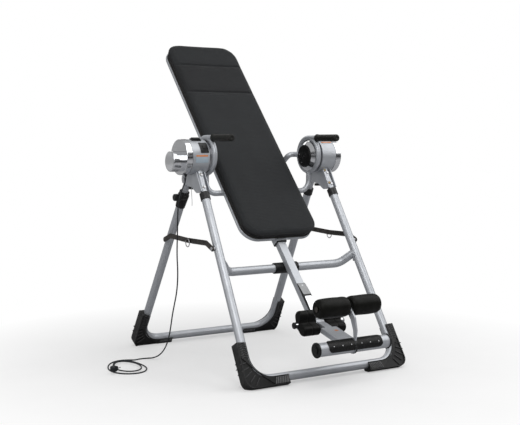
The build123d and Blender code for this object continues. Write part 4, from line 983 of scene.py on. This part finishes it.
def leg_lines(end):
    """The two leg axes of a U frame, from its tube's box: side, foot and upward direction of each."""
    low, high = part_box("front_frame_tube" if end < 0 else "rear_frame_tube")
    foot_y = low.y + LEG_R if end < 0 else high.y - LEG_R
    lines = []
    for side in SIDES:
        foot_x = (high.x - LEG_R) if side > 0 else (low.x + LEG_R)
        up = Vector((-side * LEG_SPREAD, LEG_LEAN[end], LEG_RISE)).normalized()
        lines.append((side, Vector((foot_x, foot_y, low.z + LEG_R)), up))
    return lines


BEND, CAP_MIDDLE, CAP_INNER = 0.095, 0.0165, -0.0020
CAP_FACE, CAP_LIP = 0.0233, 0.0016


def raised(name, place, run, n, size, mat):
    return block(name, place, (run.cross(n), run, n), size, mat, 0.0010)


def cap_side(foot, up, inwards, out, n):
    """One face of a shoe: teeth on the flat arm, chevrons up the leg, ribs and a lip round the bend; the teeth,
    chevrons and ribs are in lighter rubber as painted highlight.
    """
    centre = foot + (inwards + up) * BEND
    lift = n * CAP_FACE
    low = n.z < 0

    def bend_ray(degrees):
        angle = math.radians(degrees)
        return (-inwards * math.cos(angle) - up * math.sin(angle)).normalized()

    pieces = []
    row, length = (0.006, 0.015) if low else (CAP_MIDDLE, 0.030)
    slant = (inwards - up * 0.35).normalized()
    for k in range(8):
        place = foot + inwards * (0.106 + k * 0.0086) - up * row + lift
        # The teeth are in the lighter rubber: painted highlight.
        pieces.append(raised("tooth", place, slant, n, (length, 0.0042, 0.0044), HIGHLIT_TOOTH_RUBBER))
    for k in range(7):
        for half in (-1, 1):
            place = foot + up * (0.098 + k * 0.0102) + out * (CAP_MIDDLE + half * 0.0085) + lift
            run = (up + out * half * 0.55).normalized()
            # The chevrons are in the lighter rubber: painted highlight.
            pieces.append(raised("chevron", place, run, n, (0.0170, 0.0046, 0.0040), HIGHLIT_RIB_RUBBER))
    for k in range(7):
        degrees = 4 + 9 * k if low else 10 + 11 * k
        ray = bend_ray(degrees)
        half = 0.012 + 0.010 * math.sin(2 * math.radians(degrees))
        place = centre + ray * (BEND + 0.019 + half) + n * 0.0205
        if place.z - 0.8 * half >= 0.010:
            size = (2 * half, 0.0040, 0.0050)
            # The ribs are in the lighter rubber: painted highlight.
            pieces.append(block("rib", place, (ray, ray.cross(n), n), size, HIGHLIT_RIB_RUBBER, 0.0010))
    bead = [foot + up * 0.164 + out * CAP_INNER, foot + up * BEND + out * CAP_INNER]
    bead += [centre + bend_ray(6 * k) * (BEND + CAP_INNER) for k in range(1, 15)]
    bead += [foot + inwards * reach - up * CAP_INNER for reach in (BEND, 0.174)]
    bead = [point + lift for point in bead if (point + lift).z > 0.004]
    pieces.append(tube_along("lip", bead, CAP_LIP, RUBBER, False, 8))
    return pieces


def cap_detail(side, foot, up):
    """The raised relief of one shoe, on both its faces and along its outer edge."""
    inwards = ACROSS * -side
    out = (up * inwards.dot(up) - inwards).normalized()
    face = up.cross(inwards).normalized()
    pieces = cap_side(foot, up, inwards, out, -face) + cap_side(foot, up, inwards, out, face)
    for k in range(13):
        place = foot + up * (0.052 + k * 0.0090) + out * 0.0362
        pieces.append(block("serration", place, (up, face, out), (0.0046, 0.0400, 0.0032), RUBBER, 0.0010))
    return pieces


def build_shoes():
    for end, body in ((-1, "frame"), (1, "rear_frame")):
        pieces = []
        for side, foot, up in leg_lines(end):
            pieces += cap_detail(side, foot, up)
        word = "front" if end < 0 else "rear"
        treads = join(f"{word}_shoe_treads", pieces)
        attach(treads, body)


def build_welds():
    """Beads where the crossbar meets the legs and where the arms meet the rings."""
    bumper_low, bumper_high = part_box("crossbar_bumper")
    middle = (bumper_low + bumper_high) / 2
    weld_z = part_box("crossbar")[1].z - 0.022
    beads = []
    for side, foot, up in leg_lines(-1):
        corner = Vector((MIDDLE_X + side * 0.305, middle.y, middle.z))
        top = foot + up * ((weld_z - foot.z) / up.z)
        beads.append(weld_bead(corner, top - corner, LEG_R, foot, up, LEG_R))
    fixed = join("crossbar_welds", beads)
    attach(fixed, "frame")
    ring_low, ring_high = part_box("handle_rings")
    beads = []
    for side in SIDES:
        x = (ring_high.x - ARM_R) if side > 0 else (ring_low.x + ARM_R)
        hub = Vector((x, HUB.y + 0.004, HUB.z + 0.007))
        back = bed(side * 0.286, 0.0606, -0.0586)
        start = bed(side * 0.240, 0.0606, -0.0586)
        beads.append(weld_bead(start, ACROSS * side, ARM_R, back, ACROSS.cross(back - hub), ARM_R, 0.0018))
        foot = hub - UP * 0.080
        beads.append(weld_bead(foot - UP * 0.035, UP, ARM_R, foot, Vector((0, 1, 0)), ARM_R, 0.0018))
    turning = join("ring_welds", beads)
    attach(turning, "bed")


def build_drum_details():
    """Plain printed plates and the shut lines at the drums' ends."""
    low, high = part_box("drum_shells")
    shell_r = (high.z - low.z) / 2
    label, strip = (shell_r + 0.0001, shell_r + 0.0007), (shell_r + 0.0006, shell_r + 0.0011)
    plates = [
        drum_plate("label", low.x + 0.015, low.x + 0.079, -18, 9, *label, LABEL_PRINT),
        drum_plate("strip", low.x + 0.017, low.x + 0.077, 2, 7.5, *strip, ORANGE, 10, 0.002),
        drum_plate("label", high.x - 0.004, high.x - 0.068, 50, 76, *label, LABEL_PRINT),
        drum_plate("strip", high.x - 0.006, high.x - 0.066, 52, 58, *strip, ORANGE, 10, 0.002),
    ]
    labels = join("drum_labels", plates)
    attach(labels, "frame")
    profile = [(-0.0016, shell_r - 0.001), (-0.0014, shell_r + 0.0004), (0.0002, shell_r + 0.0004),
               (0.0003, shell_r - 0.001)]
    rings = [lathe("shut_line", Vector((edge, HUB.y, HUB.z)), ACROSS * sign, profile, PLASTIC, 96, True)
             for edge, sign in ((low.x, -1), (high.x, 1))]
    seams = join("drum_shut_lines", rings)
    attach(seams, "frame")


def build_hub_details():
    """Raised rings on the black hub covers."""
    rings = []
    for side in SIDES:
        origin = Vector((MIDDLE_X + side * 0.2545, HUB.y, HUB.z))
        for radius in (0.0465, 0.018):
            profile = [(0.0004, radius - 0.0016), (-0.0007, radius - 0.0008), (-0.0007, radius + 0.0008),
                       (0.0004, radius + 0.0016)]
            rings.append(lathe("ring", origin, ACROSS * side, profile, PLASTIC, 72, True))
    cover = join("hub_cover_rings", rings)
    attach(cover, "bed")


def build_can_face():
    """The slightly domed bright face of the motor's can, with a turned ring near its rim."""
    profile = [(-0.0006, 0.0416), (0.0002, 0.0414), (0.0006, 0.0400), (0.0002, 0.0385), (0.0002, 0.0375)]
    for k in range(16):
        part = 1 - k / 15
        profile.append((0.0003 + 0.0016 * (1 - part ** 2), 0.0365 * part))
    origin = Vector((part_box("drum_end_caps")[0].x, HUB.y, HUB.z - 0.019))
    face = lathe("can_face", origin, -ACROSS, profile, CHROME, 96)
    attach(face, "frame")


def build_stub_bolts():
    """Domed brass-coloured bolt heads on the front of the bracket stubs."""
    profile = [(0.0, 0.0), (0.0, 0.0064), (0.0018, 0.0064), (0.0036, 0.0052), (0.0046, 0.0032),
               (0.0042, 0.0028), (0.0026, 0.0026), (0.0026, 0.0)]
    places = {-1: (-0.45, (0.862, 0.806)), 1: (-0.25, (0.870, 0.812))}
    heads = []
    for side, foot, up in leg_lines(-1):
        outwards, heights = places[side]
        forward = Vector((outwards, -1, 0)).normalized()
        forward = (forward - up * forward.dot(up)).normalized()
        for z in heights:
            place = foot + up * ((z - foot.z) / up.z) + forward * 0.0145
            heads.append(lathe("bolt_head", place, forward, profile, BRASS, 24))
    bolts = join("stub_bolt_heads", heads)
    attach(bolts, "frame")


def build_gap_shade_sheet():
    """A thin dark sheet that fills the gap between the treads, round the clamp arm's eye: painted shade in that
    gap.
    """
    steps, first, sweep = 60, -75, 170
    section = ((-0.0041, 0.0328), (-0.0041, 0.0336), (0.0041, 0.0336), (0.0041, 0.0328))
    verts = []
    for k in range(steps + 1):
        angle = math.radians(180 - (first + sweep * k / steps))
        out = Vector((0, math.cos(angle), math.sin(angle)))
        verts += [Vector((MIDDLE_X + x, FOOT.y, FOOT.z)) + out * r for x, r in section]
    faces = grid_faces(steps + 1, 4, False, True) + [[3, 2, 1, 0], [steps * 4 + q for q in range(4)]]
    # Black plastic sheet: painted shade in the gap between the treads.
    band = fix_normals(make_object("gap_shade_sheet", verts, faces, PLASTIC, False))
    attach(band, "clamp_arm")


def build_lead():
    """The thin pale lanyard that hangs from the left bracket."""
    top = Vector((MIDDLE_X - 0.3735, HUB.y - 0.026, HUB.z - 0.126))
    points = []
    for k in range(25):
        t = k / 24
        sway = Vector((-0.004 - 0.0015 * math.sin(t * 5), -0.002 * math.sin(t * 3.0), -0.092 * t))
        points.append(top + sway)
    lead = tube_along("lanyard", points, 0.0011, GREY_PLATE, False, 10)
    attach(lead, "frame")


GUARD_CURVE = (Vector((0.648, 0.1095)), Vector((0.735, 0.100)), Vector((0.818, 0.106)))


def circle_through(a, b, c):
    """The centre and radius of the circle through three points of a plane."""
    d = 2 * (a.x * (b.y - c.y) + b.x * (c.y - a.y) + c.x * (a.y - b.y))
    square_a, square_b, square_c = a.length_squared, b.length_squared, c.length_squared
    x = (square_a * (b.y - c.y) + square_b * (c.y - a.y) + square_c * (a.y - b.y)) / d
    y = (square_a * (c.x - b.x) + square_b * (a.x - c.x) + square_c * (b.x - a.x)) / d
    centre = Vector((x, y))
    return centre, (a - centre).length


def guard_strip(name, start, end, mat, high):
    """A thin plate that follows the guard's curved face, from one place along the boom to another."""
    centre, radius = circle_through(*GUARD_CURVE)
    steps, low, half = 24, 0.0001, 0.0192
    verts = []
    for k in range(steps + 1):
        s = start + (end - start) * k / steps
        face = math.sqrt(radius ** 2 - (s - centre.x) ** 2) - centre.y
        w = half - 0.004 * max(0.0, 1 - min(k, steps - k) / 2) ** 2
        for x, level in ((-w, low), (w, low), (w, high), (-w, high)):
            verts.append(bed(x, -s, face + level))
    faces = grid_faces(steps + 1, 4, False, True) + [[0, 1, 2, 3], [steps * 4 + k for k in (3, 2, 1, 0)]]
    return sharp_by_angle(fix_normals(make_object(name, verts, faces, mat)), 30)


def carrier_patch():
    """A plain orange patch on top of the foot carrier, where the photograph has a label."""
    run = (FOOT - CUP).normalized()
    top = ACROSS.cross(run).normalized()
    top = top if top.z > 0 else -top
    place = CUP + run * 0.118 + top * 0.0121
    place.x = MIDDLE_X + 0.012
    return block("patch", place, (ACROSS, run, top), (0.016, 0.013, 0.0008), ORANGE, 0.0003)


def build_boom_details():
    """Shallow black discs for the adjusting holes, as painted shade inside them, the guard's bright strip and grey
    plate, and a plain patch on the foot carrier.
    """
    # Each adjusting hole is a shallow black disc with a lip: painted shade for the hole's dark inside.
    profile = [(-0.0004, 0.0), (-0.0004, 0.0046), (0.00008, 0.0050), (0.00008, 0.0056), (-0.0006, 0.0060)]
    holes = [lathe("hole", bed(0.02001, -0.452 - k * 0.025, -0.127), ACROSS, profile, PLASTIC, 28)
             for k in range(9)]
    marks = join("boom_hole_shade_discs", holes)
    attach(marks, "boom")
    cover = join("guard_plates", [
        guard_strip("bright_strip", 0.722, 0.806, CHROME, 0.0014),
        guard_strip("grey_plate", 0.650, 0.712, GREY_PLATE, 0.0010),
        carrier_patch()])
    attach(cover, "boom")


# ---------------------------------------------------------------- power cord
CORD_ROUTE = [
    (-0.400, 0.006, 0.862), (-0.400, 0.006, 0.838), (-0.418, 0.004, 0.806), (-0.434, 0.002, 0.768),
    (-0.441, 0.004, 0.722), (-0.440, 0.010, 0.668), (-0.437, 0.018, 0.612), (-0.437, 0.022, 0.556),
    (-0.441, 0.016, 0.498), (-0.445, 0.002, 0.442), (-0.446, 0.002, 0.388), (-0.442, 0.020, 0.334),
    (-0.438, 0.048, 0.282), (-0.437, 0.072, 0.228), (-0.438, 0.086, 0.172), (-0.442, 0.098, 0.118),
    (-0.447, 0.122, 0.068), (-0.456, 0.156, 0.030), (-0.470, 0.196, 0.008), (-0.494, 0.226, 0.0032),
    (-0.526, 0.232, 0.0030), (-0.556, 0.222, 0.0030),
]
COIL_TURNS = [
    (-0.577, 0.236, 0.0031), (-0.607, 0.250, 0.0031), (-0.642, 0.246, 0.0031), (-0.678, 0.222, 0.0031),
    (-0.712, 0.176, 0.0031), (-0.738, 0.116, 0.0031), (-0.745, 0.058, 0.0031), (-0.728, 0.006, 0.0031),
    (-0.692, -0.022, 0.0031), (-0.652, -0.028, 0.0031), (-0.614, -0.010, 0.0031), (-0.584, 0.036, 0.0031),
    (-0.572, 0.090, 0.0031), (-0.572, 0.146, 0.0031), (-0.586, 0.196, 0.0060), (-0.606, 0.222, 0.0088),
    (-0.636, 0.226, 0.0090), (-0.668, 0.204, 0.0090), (-0.700, 0.150, 0.0090), (-0.716, 0.094, 0.0090),
    (-0.716, 0.042, 0.0090), (-0.696, 0.006, 0.0090), (-0.662, -0.008, 0.0090), (-0.628, 0.010, 0.0090),
    (-0.602, 0.054, 0.0090), (-0.592, 0.104, 0.0090), (-0.596, 0.152, 0.0092), (-0.618, 0.196, 0.0096),
    (-0.652, 0.204, 0.0096), (-0.682, 0.176, 0.0096), (-0.706, 0.122, 0.0096), (-0.722, 0.078, 0.0100),
    (-0.735, 0.048, 0.0150), (-0.744, 0.034, 0.0200), (-0.752, 0.026, 0.0232),
]
ROUTE_SHIFT = Vector((MIDDLE_X, HUB.y - 0.018, 0))


def build_cord():
    places = [Vector(p) + ROUTE_SHIFT for p in CORD_ROUTE + COIL_TURNS]
    data = bpy.data.curves.new("mains_cord", "CURVE")
    data.dimensions = "3D"
    data.resolution_u = 10
    spline = data.splines.new("NURBS")
    spline.points.add(len(places) - 1)
    for point, place in zip(spline.points, places):
        point.co = (*place, 1.0)
    spline.order_u = 3
    spline.use_endpoint_u = True
    data.bevel_depth = 0.003
    data.bevel_resolution = 5
    data.materials.append(CORD)
    cord = link_to_scene(bpy.data.objects.new("mains_cord", data))
    length = cord_length(cord)
    plug = build_plug()
    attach(cord, "frame")
    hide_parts("power_cord", "cord_coil")
    ribs = [
        (-0.004, 0.0085), (0.0, 0.0085), (0.0008, 0.0080), (0.001, 0.0062), (0.0022, 0.0062),
        (0.0026, 0.0072), (0.0040, 0.0070), (0.0044, 0.0058), (0.0056, 0.0056), (0.0060, 0.0066),
        (0.0074, 0.0062), (0.0078, 0.0048), (0.0090, 0.0046), (0.0094, 0.0054), (0.0108, 0.0048),
        (0.0112, 0.0032)]
    gland = lathe("strain_relief", places[0] + UP * 0.0075, -UP, ribs, CORD, 36)
    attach(gland, "frame")
    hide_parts("cord_gland")


def cord_length(cord):
    bare = cord.data.copy()
    bare.bevel_depth = 0.0
    ghost = link_to_scene(bpy.data.objects.new("ghost", bare))
    bpy.context.view_layer.update()
    line = bpy.data.meshes.new_from_object(ghost.evaluated_get(bpy.context.evaluated_depsgraph_get()))
    spots = [v.co for v in line.vertices]
    total = sum((spots[e.vertices[0]] - spots[e.vertices[1]]).length for e in line.edges)
    bpy.data.objects.remove(ghost)
    return total


def build_plug():
    """The plug's soft-edged body with its grip ribs, and two round pins."""
    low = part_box("power_plug")[0]
    heading = Vector((0.9, 0.44, 0)).normalized()
    side = UP.cross(heading)
    axes = (side, UP, heading)
    centre = Vector((-0.745, 0.028, 0)) + ROUTE_SHIFT
    centre.z = low.z + 0.0115
    parts = [block("plug_body", centre - heading * 0.004, axes, (0.026, 0.0215, 0.032), CORD, 0.006, 5)]
    for k in range(4):
        place = centre + heading * (-0.013 + k * 0.0042)
        parts.append(block("plug_rib", place, axes, (0.0272, 0.0226, 0.0018), CORD, 0.0008))
    pin = [(0.0, 0.0), (0.0, 0.0024), (0.007, 0.0024), (0.0071, 0.0020), (0.0180, 0.0020), (0.0196, 0.0012),
           (0.0198, 0.0)]
    for offset in (-0.007, 0.007):
        parts.append(lathe("pin", centre + side * offset + heading * 0.011, heading, pin, CHROME, 24))
    plug = join("mains_plug", parts)
    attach(plug, "frame")
    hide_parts("power_plug")
    return plug


# ---------------------------------------------------------------- CAD nodes that stay
def dress_cad():
    slots = {row["node"]: row["material_slot"] for row in frame["record"]["subparts"]}
    for name, obj in frame["nodes"].items():
        look = SLOT_LOOKS[slots[name]]
        if not obj.data.materials:
            obj.data.materials.append(look)
        for index in range(len(obj.material_slots)):
            obj.material_slots[index].material = look


set_camera()
set_stage()
build_cord()
dress_cad()
build_pad()
build_rollers()
build_cups()
build_grips()
build_treads()
build_shoes()
build_welds()
build_drum_details()
build_hub_details()
build_can_face()
build_stub_bolts()
build_gap_shade_sheet()
build_lead()
build_boom_details()
